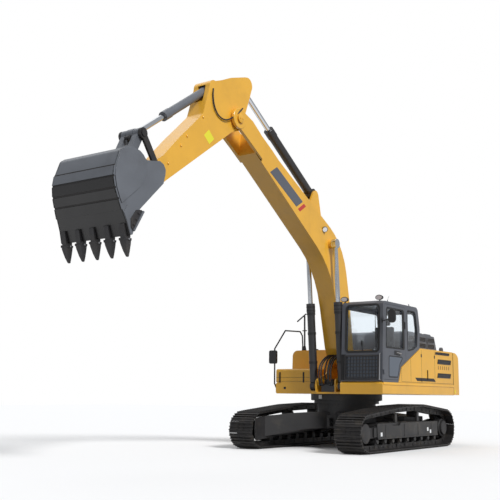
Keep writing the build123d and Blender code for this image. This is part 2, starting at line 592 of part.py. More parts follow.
def hood_left():
    """Yellow side panels from under the cab back to the counterweight."""
    outline = ((315, DECK_TOP + GAP), (160, 1775, 60), (-860, 2228, 30), (-880, HOOD_TOP, 20), (WEIGHT_FRONT + 5, HOOD_TOP, 20),
               (WEIGHT_FRONT + 5, DECK_TOP + GAP))
    return side(outline, HOUSE_HALF - 5 - SIDE_PANEL, HOUSE_HALF - 5)


def hood_core():
    """Rear housing behind the cab: bulkhead, roof and the black cover over the engine."""
    low = DECK_TOP + GAP
    right, left = -(HOUSE_HALF - 50), HOUSE_HALF - 6 - SIDE_PANEL
    shell = block(WEIGHT_FRONT + 5, -930, right, left, low, HOOD_TOP - 5)
    return shell - block(WEIGHT_FRONT + 60, -990, right + 60, left - 60, low - 1, HOOD_TOP - 60)


def engine_cover():
    outline = ((-2660, HOOD_TOP - 5), (-2560, 2650, 60), (-1100, 2690, 60), (-960, HOOD_TOP - 5))
    return side(outline, -700, 1060)


def engine():
    return block(-2500, -1500, -750, 650, DECK_TOP, 2120)


def counterweight():
    """Cast weight, its back a wide arc about the slew axis."""
    edge = math.sqrt(TAIL_R ** 2 - HOUSE_HALF ** 2)
    loop = Wire([Line((WEIGHT_FRONT, -HOUSE_HALF, DECK_LOW + 10), (-edge, -HOUSE_HALF, DECK_LOW + 10)),
                 ThreePointArc((-edge, -HOUSE_HALF, DECK_LOW + 10), (-TAIL_R, 0, DECK_LOW + 10), (-edge, HOUSE_HALF, DECK_LOW + 10)),
                 Line((-edge, HOUSE_HALF, DECK_LOW + 10), (WEIGHT_FRONT, HOUSE_HALF, DECK_LOW + 10)),
                 Line((WEIGHT_FRONT, HOUSE_HALF, DECK_LOW + 10), (WEIGHT_FRONT, -HOUSE_HALF, DECK_LOW + 10))])
    weight = extrude(Face(loop), amount=WEIGHT_TOP - DECK_LOW - 10, dir=(0, 0, 1))
    x, y, z = LIFT_EYE
    half = LIFT_EYE_SIZE[1] / 2
    eye = side(((x - 75, WEIGHT_TOP - 20), (x + 75, WEIGHT_TOP - 20), (x + 75, z + 70, 60), (x - 75, z + 70, 60)),
               y - half, y + half)
    return weight + both(eye - pin((x, z), LIFT_EYE_SIZE[0], y - 100, y + 100))


def tool_box():
    return side(((60, DECK_TOP + GAP), (730, DECK_TOP + GAP), (725, 1755, 60), (60, 1755)), -HOUSE_HALF + 10, -500)


def tank():
    return front(((-HOUSE_HALF + 20, DECK_TOP + GAP), (-500, DECK_TOP + GAP), (-500, 2215, 60), (-HOUSE_HALF + 45, 2215, 140)), -920, 50)


def lamps():
    pieces = []
    for y in (CAB_IN + 80, CAB_OUT - 75):
        pieces.append(bar((880, y, 3185), (880, y, 3250), 12) + bar((850, y, 3262), (935, y, 3247), 62))
    return Compound(children=pieces)


def handrail():
    points = ((640, RAIL_Y, 1300), (RAIL_X, RAIL_Y, 1420), (RAIL_X, RAIL_Y, 2230), (320, RAIL_Y + 30, 2680),
              (-330, RAIL_Y + 50, 2700), (-416, RAIL_Y + 60, 2600), (-416, RAIL_Y + 80, 2200))
    r = RAIL_R
    pieces = [bar(points[i], points[i + 1], r) for i in range(len(points) - 1)]
    pieces += [Pos(*p) * Sphere(r) for p in points[1:-1]]
    pieces.append(bar((640, RAIL_Y, 1300), (640, -HOUSE_HALF, 1300), r))
    return joined(pieces)


def mirrors():
    y = RAIL_Y - 140
    right = plan(((700, y, 30), (700, y + 200, 30), (775, y + 200, 30), (775, y, 30)), 1880, 2190)
    right = right - bar((RAIL_X, RAIL_Y, 1800), (RAIL_X, RAIL_Y, 2300), RAIL_R + GAP)
    head = (1185, CAB_OUT + 180)
    left = Pos(*head, 2850) * Rot(0, 0, 62) * Box(170, 45, 280)
    arm = bar((1052, CAB_OUT - 40, 2600), (*head, 2730), 12) - side(CAB_OUTLINE, CAB_IN, CAB_OUT)
    return Compound(children=[right, left + arm])


def pieces():
    boom_barrel, boom_rod = barrel_and_rod(BOOM_CYL, BOOM_CYL_FOOT, BOOM_CYL_EYE, BOOM_CYL_Y)
    arm_barrel, arm_rod = barrel_and_rod(ARM_CYL, ARM_CYL_FOOT, ARM_CYL_EYE, 0.0)
    bucket_barrel, bucket_rod = barrel_and_rod(BUCKET_CYL, BUCKET_CYL_FOOT, LINK_PIN, 0.0)
    foot_pins = pin(ARM_CYL_FOOT, ARM_CYL["pin_r"], -130, 130)
    tip_pin = pin(BOOM_TIP, 60, -EAR_OUT - 50, EAR_OUT + 50)
    frame = track_frame()
    loop = track()
    return {
        "centre_frame": centre_frame(),
        "track_frame_left": frame,
        "track_frame_right": mirror(frame, about=Plane.XZ),
        "track_left": loop,
        "track_right": mirror(loop, about=Plane.XZ),
        "idlers": idlers(),
        "sprockets": sprockets(),
        "rollers": rollers(),
        "slew_ring": slew_ring(),
        "deck": deck(),
        "boom_mount": boom_mount(),
        "counterweight": counterweight(),
        "hood_left": hood_left(),
        "hood_core": hood_core(),
        "engine_cover": engine_cover(),
        "engine": engine(),
        "tool_box": tool_box(),
        "tank": tank(),
        "handrail": handrail(),
        "mirrors": mirrors(),
        "lamps": lamps(),
        "cab_shell": cab_shell(),
        "cab_glass": cab_glass(),
        "cab_door": cab_door(),
        "door_glass": door_glass(),
        "seat": seat(),
        "boom": boom_shape() + foot_pins + tip_pin,
        "boom_barrels": both(boom_barrel),
        "boom_rods": both(boom_rod),
        "arm_barrel": arm_barrel,
        "arm_rod": arm_rod,
        "arm": arm_shape(),
        "bucket_barrel": bucket_barrel,
        "bucket_rod": bucket_rod,
        "side_links": side_links(),
        "bucket_link": bucket_link(),
        "bucket": bucket_shape(),
        "teeth": teeth(),
    }


if __name__ == "__main__":
    os.makedirs("parts", exist_ok=True)
    for name, shape in pieces().items():
        export_step(placed(shape), f"parts/{name}.step")
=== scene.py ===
import math
import bpy
import bmesh
from mathutils import Matrix, Vector


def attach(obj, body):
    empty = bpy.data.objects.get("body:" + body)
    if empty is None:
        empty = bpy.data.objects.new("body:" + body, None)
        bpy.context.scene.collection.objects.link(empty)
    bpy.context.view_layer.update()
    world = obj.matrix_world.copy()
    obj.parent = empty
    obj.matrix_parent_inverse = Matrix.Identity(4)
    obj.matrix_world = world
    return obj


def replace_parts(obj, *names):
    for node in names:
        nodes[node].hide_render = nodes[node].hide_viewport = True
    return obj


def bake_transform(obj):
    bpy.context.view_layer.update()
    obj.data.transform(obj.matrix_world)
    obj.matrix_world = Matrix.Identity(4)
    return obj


# Sizes below are in millimetres from the slew axis: X forward, Y to the cab side, Z up.
# piece() moves them into the row frame, whose origin is under the middle of the machine.
SLEW_X = -2560.0

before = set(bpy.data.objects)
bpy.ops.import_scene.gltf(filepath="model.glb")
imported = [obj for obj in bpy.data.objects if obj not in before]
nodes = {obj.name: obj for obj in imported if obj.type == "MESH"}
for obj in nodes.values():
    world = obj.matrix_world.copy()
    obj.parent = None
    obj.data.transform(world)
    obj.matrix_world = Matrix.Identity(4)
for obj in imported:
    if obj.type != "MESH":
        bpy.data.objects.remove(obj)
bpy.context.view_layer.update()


# materials

def linear(*colour):
    """Linear colour from three numbers of 0 to 255."""
    shares = [c / 255 for c in colour]
    return tuple(((c + 0.055) / 1.055) ** 2.4 if c > 10 / 255 else c / 12.92 for c in shares) + (1.0,)


def feed(tree, target, inputs):
    """Gives each named or numbered input of a node its value or its link."""
    for key, value in inputs.items():
        if isinstance(value, bpy.types.NodeSocket):
            tree.links.new(value, target.inputs[key])
        else:
            target.inputs[key].default_value = value


def node(tree, kind, inputs, **settings):
    """New shader node with its settings and its inputs."""
    new = tree.nodes.new("ShaderNode" + kind)
    for name, value in settings.items():
        setattr(new, name, value)
    feed(tree, new, inputs)
    return new


def maths(tree, operation, *values):
    return node(tree, "Math", dict(enumerate(values)), operation=operation).outputs["Value"]


def mixed(tree, factor, a, b, way="MIX"):
    inputs = {"Factor": factor, "A": a, "B": b}
    return node(tree, "Mix", inputs, data_type="RGBA", blend_type=way).outputs["Result"]


def noise(tree, place, **inputs):
    inputs = {name.capitalize(): value for name, value in inputs.items()}
    return node(tree, "TexNoise", {**inputs, "Vector": place}).outputs["Fac"]


def spread(tree, value, low, high, start, end):
    """Value between low and high, stretched to run from start to end."""
    inputs = {"Value": value, "From Min": low, "From Max": high, "To Min": start, "To Max": end}
    return node(tree, "MapRange", inputs).outputs["Result"]


def surface(name, colour, rough, metal=0.0, vary=0.10, size=1.6, grain=120.0, bump=0.12, depth=0.002,
            coat=0.0, soil=None, soil_amount=0.0, soil_size=2.5):
    """Painted or bare surface: slow colour drift, some soil, fine grain in the normal."""
    mat = bpy.data.materials.new(name)
    mat.use_nodes = True
    tree = mat.node_tree
    place = node(tree, "TexCoord", {}).outputs["Object"]
    slow = noise(tree, place, scale=size, detail=5.0)
    paint = mixed(tree, 1.0, colour, spread(tree, slow, 0.3, 0.7, 1.0 - vary, 1.0 + vary * 0.5), "MULTIPLY")
    if soil is not None:
        dirt = noise(tree, place, scale=soil_size, detail=8.0, roughness=0.65)
        paint = mixed(tree, spread(tree, dirt, 0.5, 0.75, 0.0, soil_amount), paint, soil)
    gloss = spread(tree, slow, 0.3, 0.7, max(0.03, rough - 0.07), min(1.0, rough + 0.07))
    fine = noise(tree, place, scale=grain, detail=3.0)
    dent = node(tree, "Bump", {"Strength": bump, "Distance": depth, "Height": fine})
    feed(tree, tree.nodes["Principled BSDF"], {
        "Base Color": paint, "Metallic": metal, "Roughness": gloss, "Coat Weight": coat,
        "Coat Roughness": 0.12, "Normal": dent.outputs["Normal"]})
    return mat


def glass_material(name, colour, rough):
    mat = surface(name, colour, rough, vary=0.03, size=0.8, grain=4.0, bump=0.02, depth=0.001)
    glass = mat.node_tree.nodes["Principled BSDF"]
    feed(mat.node_tree, glass, {"Transmission Weight": 1.0, "IOR": 1.25})
    return mat


DUST = linear(120, 110, 95)
YELLOW = surface("yellow_paint", linear(244, 184, 58), 0.36, vary=0.07, coat=0.3, bump=0.05,
                 soil=linear(176, 126, 48), soil_amount=0.18)
BLACK = surface("black_paint", linear(44, 43, 45), 0.46, vary=0.2, soil=linear(78, 74, 70), soil_amount=0.35)
UNDER = surface("under_paint", linear(40, 39, 40), 0.55, vary=0.25, soil=DUST, soil_amount=0.22, bump=0.25)
TRACK = surface("track_steel", linear(52, 50, 50), 0.5, metal=0.35, vary=0.3, size=4.0, soil=DUST,
                soil_amount=0.28, soil_size=5.0, bump=0.4, depth=0.004)
CAB = surface("cab_paint", linear(84, 87, 95), 0.38, vary=0.08, coat=0.2, soil=linear(110, 108, 104),
              soil_amount=0.15)
BUCKET_PAINT = dict(colour=linear(104, 108, 115), rough=0.42, vary=0.12, coat=0.15, soil=linear(70, 70, 72),
                    soil_amount=0.3)
BUCKET = surface("bucket_paint", **BUCKET_PAINT)
EDGE = surface("edge_steel", linear(54, 53, 55), 0.5, metal=0.3, vary=0.25, soil=DUST, soil_amount=0.15,
               bump=0.3)
CHROME = surface("chrome_rod", linear(205, 208, 212), 0.14, metal=1.0, vary=0.04, bump=0.02)
STEEL = surface("bright_steel", linear(170, 170, 172), 0.3, metal=0.85, vary=0.1)
RUBBER = surface("rubber", linear(24, 24, 25), 0.62, vary=0.15, bump=0.25)
HOSE = surface("hose_rubber", linear(34, 33, 34), 0.55, vary=0.12, bump=0.3, grain=300.0)
# dark colour of seams and joints, and painted shade in recesses: louvre and vent openings and the gaps
# between the bucket's wear bands
SEAMS_AND_SHADE = surface("seam_dark_and_recess_shade", linear(38, 35, 34), 0.6, vary=0.2, bump=0.1)
PLASTIC = surface("black_plastic", linear(34, 34, 36), 0.5, vary=0.1, bump=0.2, grain=400.0)
INTERIOR = surface("interior_plastic", linear(140, 146, 156), 0.6, vary=0.08, bump=0.15, grain=300.0)
MIRROR = surface("mirror_face", linear(200, 204, 208), 0.06, metal=1.0, vary=0.02, bump=0.0)
AMBER = surface("yellow_reflector", linear(250, 214, 40), 0.3, vary=0.05, coat=0.4)
SHADE = surface("slot_shade", linear(150, 104, 34), 0.5, vary=0.1)
RED = surface("red_paint", linear(200, 52, 44), 0.35, vary=0.05, coat=0.3)
STRIPE = surface("grey_stripe", linear(88, 92, 102), 0.35, vary=0.05, coat=0.3)
LABEL = surface("lime_label", linear(246, 238, 58), 0.4, vary=0.05)
GREY = surface("grey_paint", linear(92, 94, 99), 0.45, vary=0.12, soil=linear(70, 70, 70), soil_amount=0.2)
PANE = surface("dark_pane", linear(86, 96, 110), 0.08, vary=0.05, coat=0.6)
WHITE = surface("white_label", linear(238, 240, 240), 0.4, vary=0.03)
IRON = surface("cast_iron", linear(96, 92, 88), 0.6, metal=0.4, vary=0.2, bump=0.5, grain=60.0)
GLASS = glass_material("cab_glass", (0.93, 0.97, 1.0, 1.0), 0.05)
LAMP_GLASS = surface("lamp_glass", linear(214, 206, 206), 0.12, vary=0.05, coat=0.5)
REFLECTOR = surface("lamp_reflector", linear(225, 226, 230), 0.2, metal=0.9, vary=0.05)
# height in metres below which the bucket's back is near black: partly black paint, partly painted shade where
# it faces down
BLACK_AND_SHADE_BELOW = 4.4


def bucket_material():
    """Grey bucket paint, near black on the lower part of its back and inside: partly black paint, partly
    painted shade where the back faces down.
    """
    mat = surface("bucket_grey_black_and_shade", **BUCKET_PAINT)
    tree = mat.node_tree
    bsdf = tree.nodes["Principled BSDF"]
    place = node(tree, "TexCoord", {}).outputs
    height = node(tree, "SeparateXYZ", {"Vector": place["Object"]}).outputs["Z"]
    facing = node(tree, "SeparateXYZ", {"Vector": place["Normal"]}).outputs["Y"]
    low = maths(tree, "LESS_THAN", height, BLACK_AND_SHADE_BELOW)
    across = maths(tree, "LESS_THAN", maths(tree, "ABSOLUTE", facing), 0.5)
    paint = bsdf.inputs["Base Color"].links[0].from_socket
    both = maths(tree, "MULTIPLY", low, across)
    # near black that mixes black paint with painted shade
    feed(tree, bsdf, {"Base Color": mixed(tree, both, paint, linear(22, 20, 21))})
    return mat


def weave_material():
    """Woven seat cloth: two crossed waves as the threads."""
    mat = surface("seat_cloth", linear(58, 58, 64), 0.85, vary=0.15, size=9.0, grain=500.0, bump=0.2)
    tree = mat.node_tree
    bsdf = tree.nodes["Principled BSDF"]
    inputs = {"Scale": 90.0, "Vector": node(tree, "TexCoord", {}).outputs["Object"]}
    waves = [node(tree, "TexWave", inputs, bands_direction=axis).outputs["Fac"] for axis in ("X", "Z")]
    grain = bsdf.inputs["Normal"].links[0].from_socket
    both = maths(tree, "MULTIPLY", *waves)
    threads = node(tree, "Bump", {"Strength": 0.35, "Distance": 0.001, "Height": both, "Normal": grain})
    feed(tree, bsdf, {"Sheen Weight": 0.25, "Normal": threads.outputs["Normal"]})
    return mat


BUCKET_BODY = bucket_material()
CLOTH = weave_material()

NODE_MATERIALS = (
    (UNDER, "centre_frame track_frame_left track_frame_right slew_ring idlers sprockets rollers"),
    (TRACK, "track_left track_right"),
    (YELLOW, "deck boom_mount counterweight hood_left hood_core tool_box tank boom arm"),
    (BLACK, "engine_cover boom_barrels arm_barrel"), (IRON, "engine"),
    (PLASTIC, "handrail mirrors lamps seat"), (CAB, "cab_shell cab_door"), (GLASS, "cab_glass door_glass"),
    (CHROME, "boom_rods arm_rod bucket_rod"), (BUCKET, "bucket_barrel bucket_link"),
    (EDGE, "side_links teeth"), (BUCKET_BODY, "bucket"))
for material, names in NODE_MATERIALS:
    for name in names.split():
        nodes[name].data.materials.clear()
        nodes[name].data.materials.append(material)


# shapes

def rounded(points, steps=5):
    """Outline whose corners with a third number become arcs of that radius."""
    result, count = [], len(points)
    for i, point in enumerate(points):
        if len(point) < 3 or point[2] <= 0:
            result.append((point[0], point[1]))
            continue
        here = Vector(point[:2])
        a = (Vector(points[i - 1][:2]) - here).normalized()
        b = (Vector(points[(i + 1) % count][:2]) - here).normalized()
        half = math.acos(max(-1.0, min(1.0, a.dot(b)))) / 2
        reach = point[2] / math.tan(half)
        start, end = here + a * reach, here + b * reach
        centre = here + (a + b).normalized() * (point[2] / math.sin(half))
        first = math.atan2(start.y - centre.y, start.x - centre.x)
        turn = math.atan2(end.y - centre.y, end.x - centre.x) - first
        turn = (turn + math.pi) % (2 * math.pi) - math.pi
        for k in range(steps + 1):
            angle = first + turn * k / steps
            result.append((centre.x + point[2] * math.cos(angle), centre.y + point[2] * math.sin(angle)))
    return result


def inset(points, by):
    """The same closed outline moved inward."""
    area = sum(points[i - 1][0] * points[i][1] - points[i][0] * points[i - 1][1] for i in range(len(points)))
    by = by if area > 0 else -by
    result = []
    for i in range(len(points)):
        p, q, r = (Vector(points[(i + k) % len(points)][:2]) for k in (-1, 0, 1))
        u, v = (q - p).normalized(), (r - q).normalized()
        way = Vector((-u.y, u.x)) + Vector((-v.y, v.x))
        way = way / max(way.length_squared / 2, 1e-6)
        result.append((q.x + way.x * by, q.y + way.y * by))
    return result


def panel(a0, a1, b0, b1, r, steps=5):
    """Rectangle with rounded corners."""
    return rounded(((a0, b0, r), (a1, b0, r), (a1, b1, r), (a0, b1, r)), steps)


def circle(n):
    """Cosine and sine at n equal steps of a turn."""
    return [(math.cos(2 * math.pi * k / n), math.sin(2 * math.pi * k / n)) for k in range(n)]


def oval(a, b, half_a, half_b, n=28):
    return [(a + half_a * c, b + half_b * s) for c, s in circle(n)]


def arc(centre, r, start, end, steps):
    angles = [start + (end - start) * i / steps for i in range(steps + 1)]
    return [(centre[0] + r * math.cos(a), centre[1] + r * math.sin(a)) for a in angles]


def skin(rings, n):
    """Faces between rings of n points each, and a lid on both ends."""
    faces = [(i * n + k, i * n + (k + 1) % n, (i + 1) * n + (k + 1) % n, (i + 1) * n + k)
             for i in range(rings - 1) for k in range(n)]
    return faces + [tuple(range(n - 1, -1, -1)), tuple(range((rings - 1) * n, rings * n))]


def smooth_path(points, steps=6):
    """Catmull-Rom curve through the points."""
    pts = [Vector(p) for p in points]
    ends = [pts[0] * 2 - pts[1]] + pts + [pts[-1] * 2 - pts[-2]]
    path = []
    for i in range(1, len(ends) - 2):
        a, b, c, d = ends[i - 1:i + 3]
        for k in range(steps):
            t = k / steps
            path.append(0.5 * ((2 * b) + (c - a) * t + (2 * a - 5 * b + 4 * c - d) * t * t
                               + (3 * b - a - 3 * c + d) * t ** 3))
    path.append(pts[-1])
    return path


# where the two numbers of an outline and its depth go: side view, plan and front view
SIDE = lambda a, b, t: (a, t, b)
PLAN = lambda a, b, t: (a, b, t)
FRONT = lambda a, b, t: (t, a, b)


class Bits:
    """Collects simple closed forms, in millimetres from the slew axis."""

    def __init__(self):
        self.v = []
        self.f = []

    def add(self, verts, faces):
        n = len(self.v)
        self.v += [Vector(p) for p in verts]
        self.f += [tuple(i + n for i in f) for f in faces]
        return self

    def slab(self, points, t0, t1, put=SIDE):
        """Outline extruded between two depths."""
        n = len(points)
        verts = [put(p[0], p[1], t0) for p in points] + [put(p[0], p[1], t1) for p in points]
        faces = [tuple(range(n)), tuple(range(2 * n - 1, n - 1, -1))]
        faces += [(i, (i + 1) % n, (i + 1) % n + n, i + n) for i in range(n)]
        return self.add(verts, faces)

    def hollow(self, outer, inner, t0, t1, put=SIDE):
        """Outline with a hole of as many points, extruded between two depths."""
        n = len(outer)
        verts = [put(p[0], p[1], t) for t in (t0, t1) for ring in (outer, inner) for p in ring]
        faces = []
        for i in range(n):
            j = (i + 1) % n
            faces += [(i, j, j + n, i + n), (i + 2 * n, i + 3 * n, j + 3 * n, j + 2 * n),
                      (i, i + 2 * n, j + 2 * n, j), (i + n, j + n, j + 3 * n, i + 3 * n)]
        return self.add(verts, faces)

    def frame(self, points, width, t0, t1, put=SIDE):
        """Flat ring between an outline and its inset."""
        return self.hollow(points, inset(points, width), t0, t1, put)

    def box(self, x0, x1, y0, y1, z0, z1):
        return self.slab(((x0, z0), (x1, z0), (x1, z1), (x0, z1)), y0, y1)

    def lathe(self, a, b, profile, n):
        """Turned shape on the line from a to b: pairs of share of its length and radius."""
        a, b = Vector(a), Vector(b)
        u = (b - a).normalized()
        side = u.orthogonal().normalized()
        other = u.cross(side)
        verts = [a + (b - a) * share + (side * c + other * s) * r
                 for share, r in profile for c, s in circle(n)]
        return self.add(verts, skin(len(profile), n))

    def rod(self, a, b, r, n):
        return self.lathe(a, b, ((0, r), (1, r)), n)

    def turned(self, at, y0, y1, profile, n):
        """Turned shape across the machine, at a place in the side view."""
        return self.lathe((at[0], y0, at[1]), (at[0], y1, at[1]), profile, n)

    def disc(self, at, y0, y1, r, n):
        return self.turned(at, y0, y1, ((0, r), (1, r)), n)

    def tube(self, points, r, n, steps=6):
        """Pipe or hose on a curve through the points."""
        path = smooth_path(points, steps)
        verts, side = [], None
        for i, p in enumerate(path):
            u = (path[min(i + 1, len(path) - 1)] - path[max(i - 1, 0)]).normalized()
            side = u.orthogonal().normalized() if side is None else (side - u * side.dot(u)).normalized()
            other = u.cross(side)
            verts += [p + (side * c + other * s) * r for c, s in circle(n)]
        return self.add(verts, skin(len(path), n))

    def bolt(self, at, axis, r, h):
        """Hexagon head on its washer."""
        at, axis = Vector(at), Vector(axis).normalized()
        washer = at + axis * h * 0.35
        self.lathe(at, washer, ((0, r * 1.35), (1, r * 1.3)), 14)
        return self.lathe(washer, at + axis * h, ((0, r), (0.85, r), (1, r * 0.86)), 6)

    def flipped(self):
        """Only the same forms on the other side of the machine."""
        return Bits().add([(v.x, -v.y, v.z) for v in self.v], [tuple(reversed(f)) for f in self.f])

    def joined(self, other):
        return self.add(other.v, other.f)

    def mirrored(self):
        """Adds the same forms on the other side of the machine."""
        return self.joined(self.flipped())


SHARP_ANGLE, BEVEL_ANGLE = math.radians(32), math.radians(40)


def metres(p):
    """Place in the row frame of one in millimetres from the slew axis."""
    return (p[0] + SLEW_X) / 1000, p[1] / 1000, p[2] / 1000


def piece(name, bits, material, body, bevel=0.0):
    mesh = bpy.data.meshes.new(name)
    mesh.from_pydata([metres(v) for v in bits.v], [], bits.f)
    bm = bmesh.new()
    bm.from_mesh(mesh)
    bmesh.ops.recalc_face_normals(bm, faces=bm.faces)
    bm.to_mesh(mesh)
    bm.free()
    for face in mesh.polygons:
        face.use_smooth = True
    mesh.set_sharp_from_angle(angle=SHARP_ANGLE)
    obj = bpy.data.objects.new(name, mesh)
    bpy.context.scene.collection.objects.link(obj)
    obj.data.materials.append(material)
    if bevel:
        mod = obj.modifiers.new("edges", "BEVEL")
        mod.width = bevel / 1000
        mod.segments = 2
        mod.limit_method = "ANGLE"
        mod.angle_limit = BEVEL_ANGLE
        mod.harden_normals = True
    if body:
        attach(obj, body)
    return obj


def blended(name, bits, material):
    """Piece on no body, its place baked into its mesh."""
    obj = piece(name, bits, material, None)
    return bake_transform(obj)


def lerp(p, q, t):
    return tuple(a + (b - a) * t for a, b in zip(p, q))


# places shared with the CAD
HOUSE_HALF, CAB_IN, CAB_OUT = 1470, 465, 1460
DECK_TOP = 1450
BOOM_FOOT, BOOM_TIP = (97, 1945), (4738, 6431)
BOOM_CYL_FOOT, BOOM_CYL_EYE, BOOM_CYL_Y = (856, 1360), (1120, 4509), 355
ARM_CYL_FOOT, ARM_CYL_EYE = (1625, 5589), (4357, 7253)
BUCKET_CYL_FOOT, LINK_PIN = (5456, 6847), (7436, 5431)
BUCKET_PIN, BUCKET_LINK_PIN = (7350, 4530), (7745, 4803)
EAR_IN, EAR_OUT = 200, 250
TRACK_Y = 1295
LOUVRES = ((-2600, -1740, 2150, 2210), (-2680, -1860, 1930, 2040), (-2650, -1840, 1600, 1710))
BUCKET_HALF, BUCKET_LEAN, FRONT_EDGE = 750, 0.096, ((7478, 4585), (0.594, -0.804))
TEETH_Y = (-635, -315, 0, 315, 635)


def on(a, b, distance, out=0.0, y=0.0):
    """Point on the line from pin a to pin b, and out to its upper side."""
    size = math.dist(a, b)
    u = ((b[0] - a[0]) / size, (b[1] - a[1]) / size)
    return (a[0] + u[0] * distance - u[1] * out, y, a[1] + u[1] * distance + u[0] * out)


# undercarriage

IDLER, SPROCKET, CARRIERS = (2020, 400), (-2100, 430), ((450, 845), (-700, 883))
IDLER_RING, SPROCKET_RING = 300, 330
SHOES, SHOE_HALF = 48, 300
LINK_IN, LINK_OUT, PIN_END, PIN_R = 58, 95, 106, 24
DRIVE_TEETH, ROOT_R, TOOTH_R = 21, 205, 244
BEAM_OUT, PLATE_OUT = TRACK_Y + 188, TRACK_Y + 234


def tangent(centre, r, point, turn):
    """Angle at which a line through the point touches a circle."""
    towards = math.atan2(point[1] - centre[1], point[0] - centre[0])
    return towards + turn * math.acos(r / math.dist(centre, point))


def chain_pins():
    """The chain's pins at equal steps round idler, carrier rollers and sprocket."""
    path = arc(IDLER, IDLER_RING, -math.pi / 2, tangent(IDLER, IDLER_RING, CARRIERS[0], -1), 60)
    path += list(CARRIERS)
    path += arc(SPROCKET, SPROCKET_RING, tangent(SPROCKET, SPROCKET_RING, CARRIERS[1], 1), 1.5 * math.pi, 60)
    path.append(path[0])
    lengths = [math.dist(a, b) for a, b in zip(path, path[1:])]
    step, i, done, pins = sum(lengths) / SHOES, 0, 0.0, []
    for k in range(SHOES):
        while done + lengths[i] < k * step:
            done += lengths[i]
            i += 1
        pins.append(lerp(path[i], path[i + 1], (k * step - done) / lengths[i]))
    return pins


# section of a shoe with its three bars, and of a chain link: share of the link, distance out from the pins
SHOE = ((-0.14, 52), (-0.14, 62), (0.03, 71), (0.09, 71), (0.125, 100), (0.185, 100), (0.22, 71), (0.44, 71),
        (0.465, 100), (0.53, 100), (0.56, 71), (0.78, 71), (0.815, 100), (0.875, 100), (0.91, 71), (1.04, 71),
        (1.04, 64), (0.9, 60), (0.8, 52))
LINK = ((0.0, -48), (1.0, -48), (1.1, -22), (1.1, 22), (1.0, 56), (0.0, 56), (-0.1, 22), (-0.1, -22))


def track_loop():
    """Left track: shoes, links and pins, and by themselves the shoes' bolts."""
    loop, bolts = Bits(), Bits()
    pins = chain_pins()
    for k, (p, q) in enumerate(zip(pins, pins[1:] + pins[:1])):
        size = math.dist(p, q)
        u = ((q[0] - p[0]) / size, (q[1] - p[1]) / size)

        def at(share, out):
            return p[0] + u[0] * size * share + u[1] * out, p[1] + u[1] * size * share - u[0] * out

        loop.slab([at(*c) for c in SHOE], TRACK_Y - SHOE_HALF, TRACK_Y + SHOE_HALF)
        for way in (-1, 1):
            near, far = sorted(TRACK_Y + way * (out + 5 * (k % 2)) for out in (LINK_IN, LINK_OUT))
            loop.slab([at(*c) for c in LINK], near, far)
        loop.disc(p, TRACK_Y - PIN_END, TRACK_Y + PIN_END, PIN_R, 12)
        for share in (0.33, 0.67):
            for y in (TRACK_Y - 60, TRACK_Y + 60):
                x, z = at(share, 70)
                bolts.bolt((x, y, z), (u[1], 0, -u[0]), 16, 15)
    return loop, bolts


loop, bolts = track_loop()
other = loop.flipped()
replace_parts(piece("track_loop_left", loop, TRACK, "undercarriage"), "track_left")
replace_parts(piece("track_loop_right", other, TRACK, "undercarriage"), "track_right")
piece("shoe_bolts", bolts.mirrored(), TRACK, "undercarriage")

wheels, drives, plates, caps = Bits(), Bits(), Bits(), Bits()
profile = ((0, 60), (0.04, 60), (0.05, 172), (0.22, 172), (0.24, 212), (0.76, 212), (0.78, 172), (0.95, 172),
           (0.96, 60), (1, 60))
wheels.turned(IDLER, TRACK_Y - 130, TRACK_Y + 130, profile, 48)
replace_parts(piece("idler_wheels", wheels.mirrored(), UNDER, "undercarriage"), "idlers")
x, z = SPROCKET
points = []
for i in range(DRIVE_TEETH):
    for share, r in ((0.0, ROOT_R), (0.2, ROOT_R), (0.4, TOOTH_R), (0.7, TOOTH_R)):
        a = 2 * math.pi * (i + share) / DRIVE_TEETH
        points.append((x + r * math.cos(a), z + r * math.sin(a)))
drives.slab(points, TRACK_Y - 30, TRACK_Y + 30)
profile = ((0, 150), (0.3, 150), (0.31, 190), (0.48, 190), (0.49, 205), (0.8, 205), (0.83, 196), (0.84, 166),
           (0.93, 166), (0.98, 158), (1, 120))
drives.turned(SPROCKET, TRACK_Y - 130, TRACK_Y + 206, profile, 48)
for px, pz in oval(x, z, 182, 182, 14):
    drives.bolt((px, TRACK_Y + 148, pz), (0, 1, 0), 11, 10)
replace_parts(piece("drive_wheels", drives.mirrored(), UNDER, "undercarriage"), "sprockets")

plates.slab(rounded(((1500, 272), (1526, 592, 30), (850, 592, 20), (780, 535, 20), (450, 535, 20),
                     (380, 592, 20), (-1630, 592, 30), (-1608, 272))), BEAM_OUT, PLATE_OUT)
plates.slab(((1500, 272), (1510, 300), (-1610, 300), (-1608, 272)), PLATE_OUT - 2, PLATE_OUT + 12)
for x in (-1260, -520, 200, 1120):
    plates.box(x, x + 18, PLATE_OUT - 2, PLATE_OUT + 6, 300, 560)
plates.slab(((1500, 320), (1500, 520), (1640, 505), (1640, 320)), TRACK_Y + 186, TRACK_Y + 220)
plates.turned(IDLER, TRACK_Y + 150, TRACK_Y + 238,
              ((0, 196), (0.86, 196), (0.92, 190), (0.93, 168), (0.97, 168), (1, 160)), 48)
piece("frame_plates", plates.mirrored(), UNDER, "undercarriage", bevel=3.0)
labels = Bits()
for x, z in ((1328, 370), (-1048, 422), (-1205, 368)):
    labels.slab(panel(x - 42, x + 42, z - 40, z + 40, 8, 2), PLATE_OUT - 1, PLATE_OUT + 1)
piece("frame_labels", labels, WHITE, "undercarriage")
for i in range(9):
    x = -1500 + 370 * i
    caps.turned((x, 224.3), BEAM_OUT, BEAM_OUT + 24, ((0, 52), (0.6, 52), (1, 42)), 20)
    for dx in (-48, 48):
        caps.bolt((x + dx, BEAM_OUT + 1, 250), (0, 1, 0), 12, 10)
piece("wheel_caps", caps.mirrored(), UNDER, "undercarriage")

